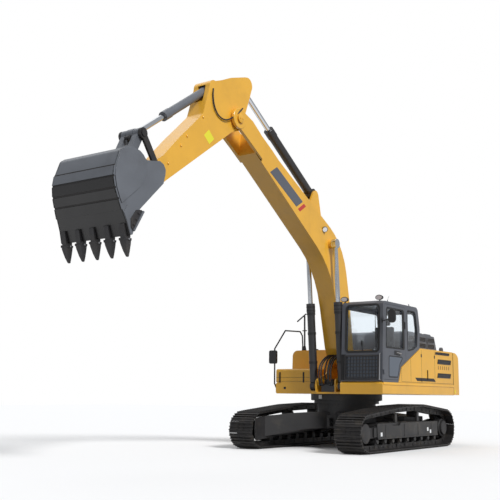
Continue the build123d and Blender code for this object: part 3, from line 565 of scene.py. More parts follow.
# legs of the centre frame, out to the track beams
legs = Bits()
sections = []
for share in (0.0, 0.2, 0.4, 0.6, 0.8, 0.94, 1.0):
    for x, y in (lerp((150, 350), (700, 1105), share), lerp((640, 60), (1760, 1105), share)):
        low = 430 if y < 400 else 430 - (y - 400) * 180 / 705
        high = 800 - y * 25 / 620 if y < 620 else 775 - (y - 620) * 85 / 485
        sections += [(x, y, low), (x, y, high)]
n = len(sections)
faces = [(0, 1, 3, 2), (n - 4, n - 2, n - 1, n - 3)]
for i in range(0, n - 4, 4):
    faces += [(i, i + 4, i + 5, i + 1), (i + 2, i + 3, i + 7, i + 6), (i, i + 2, i + 6, i + 4),
              (i + 1, i + 5, i + 7, i + 3)]
legs.add(sections, faces)
legs.add([(-x, y, z) for x, y, z in sections], [tuple(reversed(f)) for f in faces])
# inner plate of the beam at the idler
legs.slab(rounded(((1300, 250), (2110, 170, 60), (2140, 400, 60), (2120, 655, 60), (1700, 705), (1300, 715))),
          1087, 1104)
piece("frame_legs", legs.mirrored(), UNDER, "undercarriage", bevel=12.0)

# slew ring: bolts from below, a label round its front
BOLT_CIRCLE, RING_BOTTOM, RING_FACE = 775, 1050, 820
ring = Bits()
for x, y in oval(0, 0, BOLT_CIRCLE, BOLT_CIRCLE, 36):
    ring.bolt((x, y, RING_BOTTOM), (0, 0, -1), 13, 10)
piece("ring_bolts", ring, UNDER, "house")
tag = Bits()
around = lambda a, b, t: ((RING_FACE + t) * math.cos(a), (RING_FACE + t) * math.sin(a), b)
for k in range(8):
    a0, a1 = -0.36 + 0.015 * k, -0.345 + 0.015 * k
    tag.slab(((a0, 1080), (a1, 1080), (a1, 1165), (a0, 1165)), -2, 2, around)
piece("ring_label", tag, WHITE, "house")

# house: louvres, seams and latches of the left side

WALL, LOUVRE_LEAN = HOUSE_HALF - 5, 0.4
louvres, slats = Bits(), Bits()
for x0, x1, z0, z1 in LOUVRES:
    lean = (z1 - z0) * LOUVRE_LEAN
    outline = ((x0, z0), (x1, z0), (x1 - lean, z1), (x0 - lean, z1))
    # dark back panel and frame of each louvre: painted shade of the opening behind the slats
    louvres.slab(inset(outline, 1), WALL - 1, WALL + 1)
    louvres.frame(outline, 9, WALL - 1, WALL + 10)
    for k in range(3):
        z = z0 + (z1 - z0) * (k + 0.5) / 3
        shift = (z - z0) * LOUVRE_LEAN
        slats.add([(x - shift + dx, WALL + out, z + up) for x, dx in ((x0, 9), (x1, -9))
                   for out, up in ((1, 9), (8, -5), (8, -9), (1, 5))], skin(2, 4))
piece("side_louvres", louvres, SEAMS_AND_SHADE, "house")
piece("louvre_slats", slats, BLACK, "house")
slots = Bits()
for k in range(6):
    x = -1900 - 130 * k
    slots.slab(panel(x, x - 42, 1795, 1885, 14, 3), WALL - 1, WALL + 1)
piece("side_slots", slots, SHADE, "house")
seams = Bits()
for x, z0, z1 in ((-930, 1470, 2215), (-1700, 1470, 2215), (160, 1470, 1770), (-330, 1470, 1985)):
    seams.box(x - 4, x + 4, WALL - 1, WALL + 0.8, z0, z1)
seams.box(-2840, 150, WALL - 1, WALL + 0.8, 1466, 1473)
for x, z in ((-900, 2120), (-900, 1560), (-1670, 2120)):
    seams.slab(panel(x, x - 46, z, z - 70, 8, 2), WALL - 1, WALL + 6)
seams.box(-1265, -1245, WALL, WALL + 18, 1540, 1760)
seams.slab(((-560, 1575), (-1640, 1575), (-1740, 1500), (-660, 1500)), WALL - 1, WALL + 0.8)
fold = Bits().slab(((1455, 1446), (1471, 1446), (1484, 1404), (1484, 1392), (1455, 1378)), -2850, 1085, FRONT)
piece("deck_fold", fold, YELLOW, "house", bevel=2.0)
piece("side_seams", seams, SEAMS_AND_SHADE, "house")
marks = Bits().slab(panel(-2900, -2990, 1330, 1230, 10, 2), HOUSE_HALF - 2, HOUSE_HALF + 4)
piece("weight_reflectors", marks.mirrored(), AMBER, "house")

# counterweight, its rear edge rounded over: heights and how much less than the tail's radius
TAIL_RADIUS, WEIGHT_FRONT, EYE_PLACE = 3540, -2860, (-3060, 2320)
LEVELS = ((1200, 12), (1212, 0), (2040, 0), (2120, 14), (2165, 48), (2205, 112), (2240, 215))
verts = []
for z, less in LEVELS:
    r = TAIL_RADIUS - less
    half = math.asin(HOUSE_HALF / r)
    outline = [(WEIGHT_FRONT, -HOUSE_HALF)] + arc((0, 0), r, math.pi + half, math.pi - half, 32)
    outline.append((WEIGHT_FRONT, HOUSE_HALF))
    verts += [(x, y, z) for x, y in outline]
cast = Bits().add(verts, skin(len(LEVELS), len(outline)))
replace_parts(piece("weight_casting", cast, YELLOW, "house", bevel=6.0), "counterweight")
eyes = Bits()
for y in (1050, -1110):
    eyes.hollow(oval(*EYE_PLACE, 32, 32), oval(*EYE_PLACE, 72, 72), y, y + 60)
    eyes.box(-3132, -2988, y, y + 60, 2225, 2286)
piece("weight_eyes", eyes, GREY, "house", bevel=4.0)
weight = Bits().box(WEIGHT_FRONT - 2, WEIGHT_FRONT + 10, HOUSE_HALF - 3, HOUSE_HALF + 0.8, 1205, 2235)
piece("weight_seams", weight.mirrored(), SEAMS_AND_SHADE, "house")

# engine cover: body, two rows of openings on each side, raised pads on top
COVER_LEFT, COVER_RIGHT = 1060, -700
cover, frames, vents = Bits(), Bits(), Bits()
outline = rounded(((-2845, 2245), (-2677, 2638, 60), (-1100, 2660, 60), (-960, 2245)))
cover.slab(outline, COVER_RIGHT, COVER_LEFT)
for x in (-2420, -1900, -1380):
    pad = rounded(((x - 225, 2630), (x - 165, 2688, 30), (x + 165, 2692, 30), (x + 225, 2630)))
    cover.slab(pad, COVER_RIGHT + 60, COVER_LEFT - 60)
    for z in (2318, 2468):
        for face, out in ((COVER_LEFT, 1), (COVER_RIGHT, -1)):
            outline = panel(x - 215, x + 205, z, z + 118, 30, 3)
            # dark panel in each opening: painted shade
            vents.slab(inset(outline, 4), face - 2 * out, face + 2 * out)
            frames.frame(inset(outline, -14), 24, face - out, face + 18 * out)
            for bar in (z + 36, z + 74):
                frames.box(x - 210, x + 200, *sorted((face, face + 10 * out)), bar, bar + 6)
# dark strips near the rear face: painted shade of openings
for y in range(-520, 900, 240):
    vents.box(-2800, -2798, y, y + 190, 2300, 2560)
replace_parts(piece("cover_body", cover, GREY, "house", bevel=6.0), "engine_cover")
piece("cover_frames", frames, GREY, "house", bevel=2.0)
piece("cover_vents", vents, SEAMS_AND_SHADE, "house")
profile = ((0, 90), (0.7, 90), (0.75, 65), (1, 65))
exhaust = Bits().lathe((-2200, -350, 2600), (-2200, -350, 2790), profile, 28)
piece("exhaust_stub", exhaust, BLACK, "house")

# cab

CAB_FRONT, CAB_LEAN = 1110, 98 / 1735


def face_x(z):
    """Front face of the cab at a height, which leans back."""
    return CAB_FRONT - (z - DECK_TOP) * CAB_LEAN


GLASS_FRONT = lambda a, b, t: (face_x(b) + t, a, b)
front_window = rounded(((575, 2095, 70), (575, 3105, 80), (1365, 3105, 80), (1365, 2095, 70)))
low_window = rounded(((585, 1530, 30), (585, 2000, 30), (1355, 2000, 30), (1355, 1530, 30)))
seals = Bits()
seals.frame(inset(front_window, -22), 44, -6, 9, GLASS_FRONT)
seals.frame(inset(low_window, -14), 30, -6, 7, GLASS_FRONT)
rear_side = rounded(((-200, 2160, 40), (-200, 3070, 60), (-640, 3070, 90), (-740, 2600, 200),
                     (-700, 2290, 60), (-500, 2210, 40)))
seals.frame(inset(rear_side, -14), 30, CAB_OUT - 4, CAB_OUT + 4)
right_window = rounded(((900, 1620, 60), (830, 3060, 60), (-700, 3060, 90), (-760, 2500, 200),
                        (-700, 2330, 60), (250, 1900, 60), (330, 1620, 60)))
seals.frame(inset(right_window, -14), 30, CAB_IN - 5, CAB_IN + 3)
piece("window_seals", seals, RUBBER, "house", bevel=2.0)
door_window = rounded(((905, 2185, 30), (862, 3050, 60), (-20, 3050, 60), (-20, 2185, 30)))
door_low = rounded(((790, 1560, 40), (770, 2010, 50), (60, 2005, 25), (230, 1850, 60), (350, 1560, 40)))
door_bits = Bits()
door_bits.frame(inset(door_window, -14), 34, CAB_OUT - 4, CAB_OUT + 5)
door_bits.frame(inset(door_low, -10), 24, CAB_OUT - 4, CAB_OUT + 4)
door_bits.slab(panel(20, 70, 2170, 3060, 10, 2), CAB_OUT - 2, CAB_OUT + 10)
piece("door_seals", door_bits, RUBBER, "door", bevel=2.0)
piece("door_low_pane", Bits().slab(door_low, CAB_OUT - 1, CAB_OUT + 2), PANE, "door")
handle = Bits().tube(((250, CAB_OUT + 2, 2070), (252, CAB_OUT + 46, 2075), (340, CAB_OUT + 50, 2084),
                      (440, CAB_OUT + 44, 2090), (446, CAB_OUT + 2, 2092)), 11, 10)
piece("door_handle", handle, STEEL, "door")
plate = Bits()
outline = rounded(((200, 2030, 20), (200, 2130, 20), (500, 2140, 20), (500, 2045, 20)), 3)
plate.slab(outline, CAB_OUT - 1, CAB_OUT + 6)
plate.slab(panel(-80, -30, 2640, 2800, 10, 2), CAB_OUT - 1, CAB_OUT + 16)
piece("door_plates", plate, PLASTIC, "door", bevel=2.0)

piece("low_window_pane", Bits().slab(inset(low_window, -4), 5, 9, GLASS_FRONT), PANE, "house")
guard = Bits()
for k in range(10):
    y = 620 + 75 * k
    guard.rod(GLASS_FRONT(y, 1500, 26), GLASS_FRONT(y, 2015, 26), 8, 8)
for k in range(7):
    z = 1550 + 74 * k
    guard.rod(GLASS_FRONT(580, z, 31), GLASS_FRONT(1368, z, 31), 8, 8)
guard.frame(((568, 1495), (1376, 1495), (1376, 2022), (568, 2022)), 24, 18, 38, GLASS_FRONT)
for k in range(4):
    y = 478 + 26 * k
    guard.slab(((y, 1490), (y + 12, 1490), (y + 12, 2040), (y, 2040)), 2, 30, GLASS_FRONT)
piece("window_guard", guard, BLACK, "house")
rail = [GLASS_FRONT(1416, z, out)
        for z, out in ((1490, 8), (1500, 52), (1540, 58), (1990, 58), (2040, 52), (2050, 8))]
piece("cab_grab_rail", Bits().tube(rail, 11, 10, 4), STEEL, "house")
wiper = Bits()
for r, n, points in ((7, 8, ((1330, 2140, 6), (1330, 2160, 34), (1310, 2500, 36), (1290, 2760, 34))),
                     (6, 6, ((1296, 2380, 24), (1290, 2700, 26), (1284, 3020, 24)))):
    wiper.tube([GLASS_FRONT(*p) for p in points], r, n)
piece("front_wiper", wiper, PLASTIC, "house")
roof = Bits()
roof.slab(panel(-700, 930, 540, 1385, 60), 3184, 3196, PLAN)
roof.frame(panel(150, 800, 640, 1290, 60), 30, 3194, 3210, PLAN)
for x, y in ((624, 1375), (-391, 1420)):
    roof.rod((x, y, 3190), (x, y, 3235), 9, 10)
    roof.rod((x, y, 3186), (x, y, 3200), 20, 14)
roof.rod((624, 1375, 3230), (560, 1385, 3330), 4, 8)
piece("cab_roof_trim", roof, CAB, "house", bevel=2.0)
feet = Bits()
for x, y in ((990, 620), (990, 1340), (-700, 620), (-700, 1340)):
    feet.rod((x, y, DECK_TOP - 4), (x, y, DECK_TOP + 22), 60, 20)
piece("cab_feet", feet, RUBBER, "house")

# roof lamps: oval housing on its stem, rim and lens
LAMP_X, LAMP_Z = 895, 3266
housing, lenses = Bits(), Bits()
for y in (472, 1322):
    housing.slab(oval(y, LAMP_Z, 80, 50), 868, 934, FRONT)
    housing.frame(oval(y, LAMP_Z, 88, 57), 11, 915, 944, FRONT)
    housing.rod((LAMP_X, y, 3183), (LAMP_X, y, 3240), 13, 12)
    housing.rod((LAMP_X, y, 3184), (LAMP_X, y, 3196), 34, 20)
    lenses.slab(oval(y, LAMP_Z, 77, 47), 932, 940, FRONT)
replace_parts(piece("roof_lamps", housing, PLASTIC, "house", bevel=8.0), "lamps")
piece("lamp_lenses", lenses, LAMP_GLASS, "house", bevel=3.0)

# mirrors: shells, faces and arms
heads, faces_bits = Bits(), Bits()
heads.slab(panel(-1640, -1440, 1880, 2190, 40), 703, 772, FRONT)
faces_bits.slab(panel(-1626, -1454, 1894, 2176, 30), 700, 704, FRONT)
MIRROR_PLACE, MIRROR_TURN = (1142, 1722, 2830), math.radians(80)


def mirror_side(a, b, t):
    """Place of a point of the left mirror, which is turned about its upright axis."""
    x, y, z = MIRROR_PLACE
    c, s = math.cos(MIRROR_TURN), math.sin(MIRROR_TURN)
    return x + a * c - t * s, y + a * s + t * c, z + b


for half_w, half_h, t0, t1, bits in ((92, 145, -22, 22, heads), (84, 137, 21, 25, faces_bits)):
    bits.slab(panel(-half_w, half_w, -half_h, half_h, half_w * 0.85, 8), t0, t1, mirror_side)
heads.tube(((1045, 1440, 2745), (1062, 1490, 2750), (1105, 1610, 2762), (1140, 1700, 2785)), 12, 10)
heads.rod((1046, 1448, 2700), (1046, 1448, 2790), 17, 12)
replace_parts(piece("mirror_heads", heads, PLASTIC, "house", bevel=6.0), "mirrors")
piece("mirror_faces", faces_bits, MIRROR, "house")

# tool box, tank and right side

box = Bits()
for y in (-1353, -713):
    box.slab(panel(y - 16, y + 16, 1440, 1680, 8, 2), 724, 742, FRONT)
piece("box_latches", box, RUBBER, "house", bevel=2.0)
lines = Bits()
lines.box(726, 730, -1455, -505, 1556, 1562)
lines.box(727, 731, -1455, -505, 1468, 1474)
lines.slab(panel(-1250, -1190, 1290, 1345, 6, 2), 726, 729.5, FRONT)
lines.box(100, 700, -1463, -1459.2, 1556, 1562)
piece("box_seams", lines, SEAMS_AND_SHADE, "house")
caps = Bits().lathe((-300, -1000, 2212), (-300, -1000, 2262), ((0, 90), (0.5, 90), (0.6, 75), (1, 70)), 28)
piece("tank_cap", caps, BLACK, "house")
boots = Bits()
boots.lathe((-416, -1420, 2200), (-416, -1427, 2340), ((0, 34), (1, 21)), 16)
boots.lathe((-130, -1200, 2212), (-130, -1200, 2330), ((0, 48), (1, 25)), 18)
piece("rail_boot", boots, RUBBER, "house")
post = Bits()
post.rod((-130, -1200, 2214), (-130, -1200, 3060), 20, 14)
post.rod((200, -1200, 2900), (-190, -1200, 3110), 17, 12)
post.rod((-130, -1260, 2700), (-130, -1140, 2700), 12, 10)
piece("tank_post", post, PLASTIC, "house")

# boom foot: valve block and hoses that bend into the boom

valve = Bits()
valve.box(640, 930, -130, 205, 1232, 1400)
valve.box(680, 900, -60, 150, 1400, 1470)
valve.box(720, 860, -165, -130, 1260, 1380)
for y in (-150, -95, 95, 150):
    valve.rod((900, y, 1380), (965, y, 1405), 26, 12)
    valve.rod((780, y * 0.6, 1390), (780, y * 0.6, 1520), 24, 12)
piece("valve_block", valve, BLACK, "house", bevel=4.0)
for k, y in enumerate((-150, -95, -35, 40, 95, 150)):
    front = 975 if abs(y) > 90 else 915
    bits = Bits().tube(((940, y, 1395), (front, y, 1470), (front + 25, y * 1.02, 1640), (front - 20, y, 1810),
                        (800, y * 0.98, 1950), (640, y * 0.95, 2030), (520, y * 0.9, 2060),
                        (430, y * 0.85, 2080)), 17, 12, 5)
    blended("boom_hose_%d" % (k + 1), bits, HOSE)

# inner part of each rod, hidden in its barrel's bore until the rod runs out
BOTH_SIDES = (-BOOM_CYL_Y, BOOM_CYL_Y)
for name, body, foot, eye, inner, outer, radius, places in (
        ("boom_rod_shafts", "boom_rods", BOOM_CYL_FOOT, BOOM_CYL_EYE, 1335, 1715, 51.5, BOTH_SIDES),
        ("arm_rod_shaft", "arm_rod", ARM_CYL_FOOT, ARM_CYL_EYE, 925, 1855, 55.5, (0,)),
        ("bucket_rod_shaft", "bucket_rod", BUCKET_CYL_FOOT, LINK_PIN, 575, 1375, 47.5, (0,))):
    shaft = Bits()
    for y in places:
        profile = ((0, radius - 6), (0.02, radius), (1, radius))
        shaft.lathe(on(foot, eye, inner, 0, y), on(foot, eye, outer, 0, y), profile, 40)
    piece(name, shaft, CHROME, body)


def on_lift(distance, out, y):
    """Point at a distance along a lift cylinder from its foot."""
    return on(BOOM_CYL_FOOT, BOOM_CYL_EYE, distance, out, y)


# gland boots, clamp bands and pipes of the lift cylinders
boots = Bits()
BOOT = ((0, 90), (0.01, 101), (0.1, 101), (0.11, 94), (0.3, 96), (0.31, 101), (0.42, 101), (0.43, 94),
        (0.62, 96), (0.63, 101), (0.74, 101), (0.75, 96), (0.9, 96), (0.97, 88), (1, 60))
CLAMP = ((0, 89), (0.05, 96), (0.95, 96), (1, 89))
for y in BOTH_SIDES:
    boots.lathe(on_lift(1600, 0, y), on_lift(1856, 0, y), BOOT, 30)
    for start in (500, 1150):
        boots.lathe(on_lift(start, 0, y), on_lift(start + 60, 0, y), CLAMP, 30)
    boots.tube([on_lift(distance, out, y) for distance, out in
                ((210, 86), (230, 118), (500, 118), (1560, 118), (1640, 112), (1680, 96))], 12, 8, 4)
piece("boom_cylinder_trim", boots, RUBBER, "boom_barrels")

# boom: box with straight upper edge, fork plates, bosses and the arm cylinder's brackets
BOOM_HALF, FORK_OUT = 220, 270
TIP = ((4282, 6014, 300), (4676, 6230, 60), (4900, 6431, 60), (4800, 6600, 60), (4640, 6622, 80),
       (4278, 6530, 200))
BACK = ((3500, 6105, 600), (3250, 5950, 600), (504, 4600, 1400), (230, 3354, 600), (60, 2150, 300))
BELLY = ((-90, 1860), (60, 1760, 60), (420, 1900, 200), (603, 2205, 200), (1031, 3943, 2000))
BOX_END = ((4110, 5904), (4040, 6330), (4020, 6385))
plates = Bits()
plates.slab(rounded(((3900, 5771),) + TIP + ((3900, 6320),)), EAR_IN, BOOM_HALF)
upper_edge = ((4278, 6500, 100), (4020, 6330, 200), (3850, 6180, 40))
plates.slab(rounded(((3900, 5790, 40),) + TIP[:5] + upper_edge), BOOM_HALF - 1, FORK_OUT)
plates.turned(BOOM_TIP, BOOM_HALF, FORK_OUT + 10, ((0, 200), (0.9, 200), (1, 192)), 40)
plates.disc(BOOM_CYL_EYE, BOOM_HALF - 1, 297, 95, 32)
plates.disc(BOOM_FOOT, BOOM_HALF - 2, BOOM_HALF, 185, 40)
x, z = ARM_CYL_FOOT
plates.slab(rounded(((x - 260, 5000), (x - 110, z, 90), (x, z + 118, 100), (x + 115, z - 20, 90),
                     (x + 330, 5200))), 106, 150)
plates.mirrored().slab(rounded(BELLY + BOX_END + BACK), -BOOM_HALF, BOOM_HALF)
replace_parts(piece("boom_box", plates, YELLOW, "boom", bevel=6.0), "boom")

# boom: pipes on its back, lamp, stripe
STRIPE_OUT = BOOM_HALF + 1.5
pipes = Bits()
for y in (-110, -60, 60, 110):
    pipes.tube([(x, y, z) for x, z in ((86, 2712), (156, 3212), (266, 3912), (436, 4412), (686, 4712),
                                       (1166, 4972), (1466, 5082))], 15, 8)
piece("boom_pipes", pipes, YELLOW, "boom")
lamp = Bits().lathe((1395, 232, 4815), (1430, 268, 4790), ((0, 50), (0.6, 66), (1, 66)), 26)
piece("boom_lamp", lamp, PLASTIC, "boom")
lens = Bits().lathe((1430, 268, 4790), (1438, 276, 4784), ((0, 60), (1, 50)), 26)
piece("boom_lamp_lens", lens, REFLECTOR, "boom")
band = Bits().slab(((3584, 5630), (3324, 5795), (2300, 5257), (2560, 5100)), BOOM_HALF - 1, STRIPE_OUT)
piece("boom_stripe", band.mirrored(), STRIPE, "boom")
red = Bits().slab(((2500, 5065), (2250, 5225), (2165, 5180), (2415, 5020)), BOOM_HALF - 1, STRIPE_OUT)
piece("boom_stripe_end", red.mirrored(), RED, "boom")

# arm: label, bosses, hose loop
outline = rounded(((5745, 5848, 10), (5600, 5990, 10), (5437, 5850, 10), (5580, 5716, 10)), 3)
label = Bits().slab(outline, 189, 191)
piece("arm_label", label, LABEL, "arm")
bosses = Bits()
for x, z in ((5787, 6180), (6237, 5700), (6400, 5480), (6734, 5080)):
    bosses.bolt((x, 190, z), (0, 1, 0), 20, 18)
    bosses.bolt((x, -190, z), (0, -1, 0), 20, 18)
piece("arm_bosses", bosses, YELLOW, "arm")
loop = Bits().tube(((4700, 262, 6600), (4690, 300, 6640), (4844, 262, 6475), (5101, 225, 6312),
                    (5325, 215, 6328), (5469, 215, 6463), (5521, 212, 6663), (5500, 200, 6820)), 14, 10)
blended("arm_hose_loop", loop, HOSE)

# pin caps
caps = Bits()
caps.turned(BOOM_TIP, 300, 318, ((0, 90), (0.7, 90), (1, 78)), 28)
for dx in (40, -40):
    caps.bolt((BOOM_TIP[0] + dx, 318, BOOM_TIP[1]), (0, 1, 0), 14, 10)
piece("boom_pin_caps", caps.mirrored(), YELLOW, "boom")
ends = Bits()
for pin in (BUCKET_PIN, BUCKET_LINK_PIN):
    ends.turned(pin, 278, 300, ((0, 78), (0.7, 78), (1, 66)), 26)
    for dx in (35, -35):
        ends.bolt((pin[0] + dx, 300, pin[1]), (0, 1, 0), 12, 9)
piece("bucket_pin_caps", ends.mirrored(), BUCKET, "bucket")

# bucket: shell with wear bands, leaning sides with a round plate, cutters, ears; teeth

BAND_ENDS = ((8514, 4572), (8537, 4393), (8506, 4218), (8444, 4057), (8371, 3882))
BACK_LOW, LIP_OUT, LIP_IN, FLOOR_LOW = (8290, 3716), (8222, 3516), (8174, 3534), (8255, 3725)


def side_y(x, z):
    """Outer face of the bucket's left side, which leans in towards its back."""
    (x0, z0), (ux, uz) = FRONT_EDGE
    return BUCKET_HALF - BUCKET_LEAN * ((x - x0) * -uz + (z - z0) * ux)


LEANING = lambda a, b, t: (a, side_y(a, b) + t, b)
ACROSS = lambda a, b, t: (a, t * (side_y(a, b) - 4), b)


def bands(high=18, gap=14):
    """The back's outline, with one raised wear band on each flat of it."""
    points = []
    for a, b in zip(BAND_ENDS, BAND_ENDS[1:]):
        size = math.dist(a, b)
        n = (-(b[1] - a[1]) / size * high, (b[0] - a[0]) / size * high)
        p, q = lerp(a, b, gap / size), lerp(a, b, 1 - gap / size)
        points += [a, p, (p[0] + n[0], p[1] + n[1]), (q[0] + n[0], q[1] + n[1]), q]
    return points + [BAND_ENDS[-1]]


upper = [(7861, 4790, 60), (7930, 4865, 60), (8000, 4918, 60), (8175, 4940, 150), (8318, 4898, 120),
         (8420, 4832, 120)]
lower = bands() + [BACK_LOW, LIP_OUT, LIP_IN]
shell = Bits()
shell.slab(rounded(upper + lower + [FLOOR_LOW, (8338, 3900), (8410, 4070), (8470, 4228), (8500, 4393),
                                    (8478, 4580), (8392, 4805, 100), (8300, 4860, 100), (8175, 4900, 130),
                                    (8040, 4880), (7960, 4830), (7861, 4745)]), -1, 1, ACROSS)
sides = Bits()
sides.slab(rounded([(7488, 4479), (7442, 4628, 40), (7430, 4722, 40), (7478, 4805, 40), (7560, 4842, 40),
                    (7722, 4809)] + upper + lower + [(8010, 3965), (7756, 4216)]), -30, 0, LEANING)
sides.slab(rounded([(7873, 4780), (7868, 4440, 600), (8400, 3990), (8434, 4062), (8496, 4220), (8527, 4393),
                    (8504, 4570), (8408, 4822, 100), (8312, 4888, 100), (8175, 4929, 130), (8006, 4908),
                    (7935, 4858)], 12), -1, 14, LEANING)
low_plate = ((8030, 3960), (8280, 3990), (8355, 3860), (8288, 3725), (8225, 3536), (8178, 3590))
sides.slab(low_plate, -1, 7, LEANING)
sides.slab(((7488, 4479), (7442, 4628), (7430, 4722), (7478, 4805), (7560, 4842), (7722, 4809), (7861, 4790),
            (7861, 4745), (7640, 4740), (7520, 4560)), EAR_OUT - 1, BUCKET_HALF - 35)
ear = rounded(((7230, 4440, 60), (7240, 4620, 60), (7420, 4790, 80), (7720, 4990, 100), (7880, 4980, 100),
               (8080, 4932), (8055, 4905), (7925, 4840), (7860, 4772), (7700, 4780), (7540, 4640),
               (7460, 4470), (7380, 4390, 60)))
sides.slab(ear, EAR_IN, EAR_OUT)
for pin, radius, out in ((BUCKET_PIN, 148, 25), (BUCKET_LINK_PIN, 118, 15)):
    sides.turned(pin, EAR_IN + 0.5, EAR_OUT + out, ((0, radius), (0.9, radius), (1, radius - 8)), 36)
sides.mirrored().joined(shell)
sides.slab(((7552, 4500), (7572, 4628), (7640, 4664), (7745, 4688), (7842, 4738), (7880, 4830), (8000, 4890),
            (8020, 4870), (8000, 4640), (7800, 4560), (7620, 4440)), -EAR_IN - 1, EAR_IN + 1)
for pin, radius, reach in ((BUCKET_PIN, 50, EAR_OUT + 28), (BUCKET_LINK_PIN, 45, EAR_OUT + 18)):
    sides.disc(pin, -reach, reach, radius, 28)
body = piece("bucket_body", sides, BUCKET_BODY, "bucket", bevel=3.0)
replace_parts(body, "bucket")

# painted shade lines in the gaps between the wear bands, a little inside the shell's ends
GAP, GAP_SHADE_END = 13, 0.995
gap_shade = Bits()
for a, b, c in zip(BAND_ENDS, BAND_ENDS[1:], BAND_ENDS[2:]):
    before, after = lerp(b, a, GAP / math.dist(a, b)), lerp(b, c, GAP / math.dist(b, c))
    outline = (before, (before[0] + 7, before[1] + 1), (b[0] + 7, b[1]), (after[0] + 7, after[1] - 2), after)
    gap_shade.slab(outline, -GAP_SHADE_END, GAP_SHADE_END, ACROSS)
a, b = BAND_ENDS[:2]
near = lerp(a, b, GAP / math.dist(a, b))
outline = (near, (near[0] + 9, near[1]), (a[0] + 9, a[1] + 9), (a[0] - 3, a[1] + 12))
gap_shade.slab(outline, -GAP_SHADE_END, GAP_SHADE_END, ACROSS)
piece("band_gap_shade", gap_shade, SEAMS_AND_SHADE, "bucket")
eye = Bits()
for y0, y1 in ((-67, -60), (60, 67)):
    eye.disc(LINK_PIN, y0, y1, 101, 32)
eye.disc(LINK_PIN, -66, 66, 102, 40)
piece("bucket_rod_eye", eye, BUCKET, "bucket_rod")

cutters, strips = Bits(), Bits()
cutter = ((8221, 3778, 30), (8110, 3930, 30), (8010, 3948), (7990, 3940), (8190, 3602), (8222, 3646))
cutters.slab(rounded(cutter, 4), -28, 24, LEANING)
for x, z in ((8062, 3882), (8118, 3780), (8168, 3688)):
    y = side_y(x, z) + 24
    cutters.disc((x, z), y - 2, y + 3, 32, 20)
    cutters.bolt((x, y, z), (0, 1, 0), 21, 17)
strips.slab(((7953, 3925), (7982, 3938), (8184, 3600), (8165, 3582)), -30, 40, LEANING)
piece("cutters", cutters.mirrored(), EDGE, "bucket", bevel=2.0)
piece("cutter_strips", strips.mirrored(), BUCKET, "bucket", bevel=2.0)

# teeth: adapter on the lip, point, collar and key
teeth, collars, keys = Bits(), Bits(), Bits()
ADAPTER = (lerp(LIP_OUT, BACK_LOW, 0.94), (8318, 3690), (8268, 3490), (8250, 3450), (8152, 3450),
           (8140, 3520), (8180, 3645), lerp(LIP_IN, FLOOR_LOW, 0.5), LIP_IN, LIP_OUT)
POINT = ((8144, 8270, 3472, 70), (8140, 8250, 3400, 62), (8132, 8208, 3290, 38), (8128, 8166, 3212, 18),
         (8132, 8158, 3203, 10))
for y in TEETH_Y:
    teeth.slab(ADAPTER, y - 50, y + 50)
    verts = [(x, y + way * half, z) for x0, x1, z, half in POINT
             for x, way in ((x0, -1), (x1, -1), (x1, 1), (x0, 1))]
    teeth.add(verts, skin(len(POINT), 4))
    collars.slab(((8140, 3486), (8274, 3486), (8270, 3446), (8144, 3446)), y - 78, y + 78)
    keys.rod((8206, y - 86, 3466), (8206, y + 86, 3466), 15, 12)
teeth = piece("tooth_points", teeth, EDGE, "bucket", bevel=5.0)
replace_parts(teeth, "teeth")
piece("tooth_collars", collars, EDGE, "bucket", bevel=6.0)
piece("tooth_keys", keys, STEEL, "bucket", bevel=1.0)

# round bar across the bucket link
x, y, z = on(LINK_PIN, BUCKET_LINK_PIN, 130, 85)
piece("link_eye_stub", Bits().rod((x, -50, z), (x, 50, z), 30, 16), EDGE, "bucket_link")

# seat and what stands round it; the pads' edges and grid in metres
SEAT_Y, PAD_EDGE, PAD_GRID = 960, 0.035, 0.012


def cushion(name, lo, hi, crown):
    """Pad: a rounded box on a fine grid, its middle raised by the crown, in metres."""
    obj = piece(name, Bits().box(lo[0], hi[0], lo[1], hi[1], lo[2], hi[2]), CLOTH, None)
    mod = obj.modifiers.new("round", "BEVEL")
    mod.width = PAD_EDGE
    mod.segments = 4
    rem = obj.modifiers.new("grid", "REMESH")
    rem.mode = "VOXEL"
    rem.voxel_size = PAD_GRID
    bpy.context.view_layer.update()
    mesh = bpy.data.meshes.new_from_object(obj.evaluated_get(bpy.context.evaluated_depsgraph_get()))
    obj.modifiers.clear()
    obj.data = mesh
    low = [min(v.co[i] for v in mesh.vertices) for i in range(3)]
    high = [max(v.co[i] for v in mesh.vertices) for i in range(3)]
    thin, *others = sorted(range(3), key=lambda i: high[i] - low[i])
    for v in mesh.vertices:
        share = [(v.co[i] - low[i]) / (high[i] - low[i]) * 2 - 1 for i in range(3)]
        rise = (1 - share[others[0]] ** 2) * (1 - share[others[1]] ** 2)
        v.co[thin] += share[thin] * rise * crown
    for face in mesh.polygons:
        face.use_smooth = True
    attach(obj, "house")
    return obj


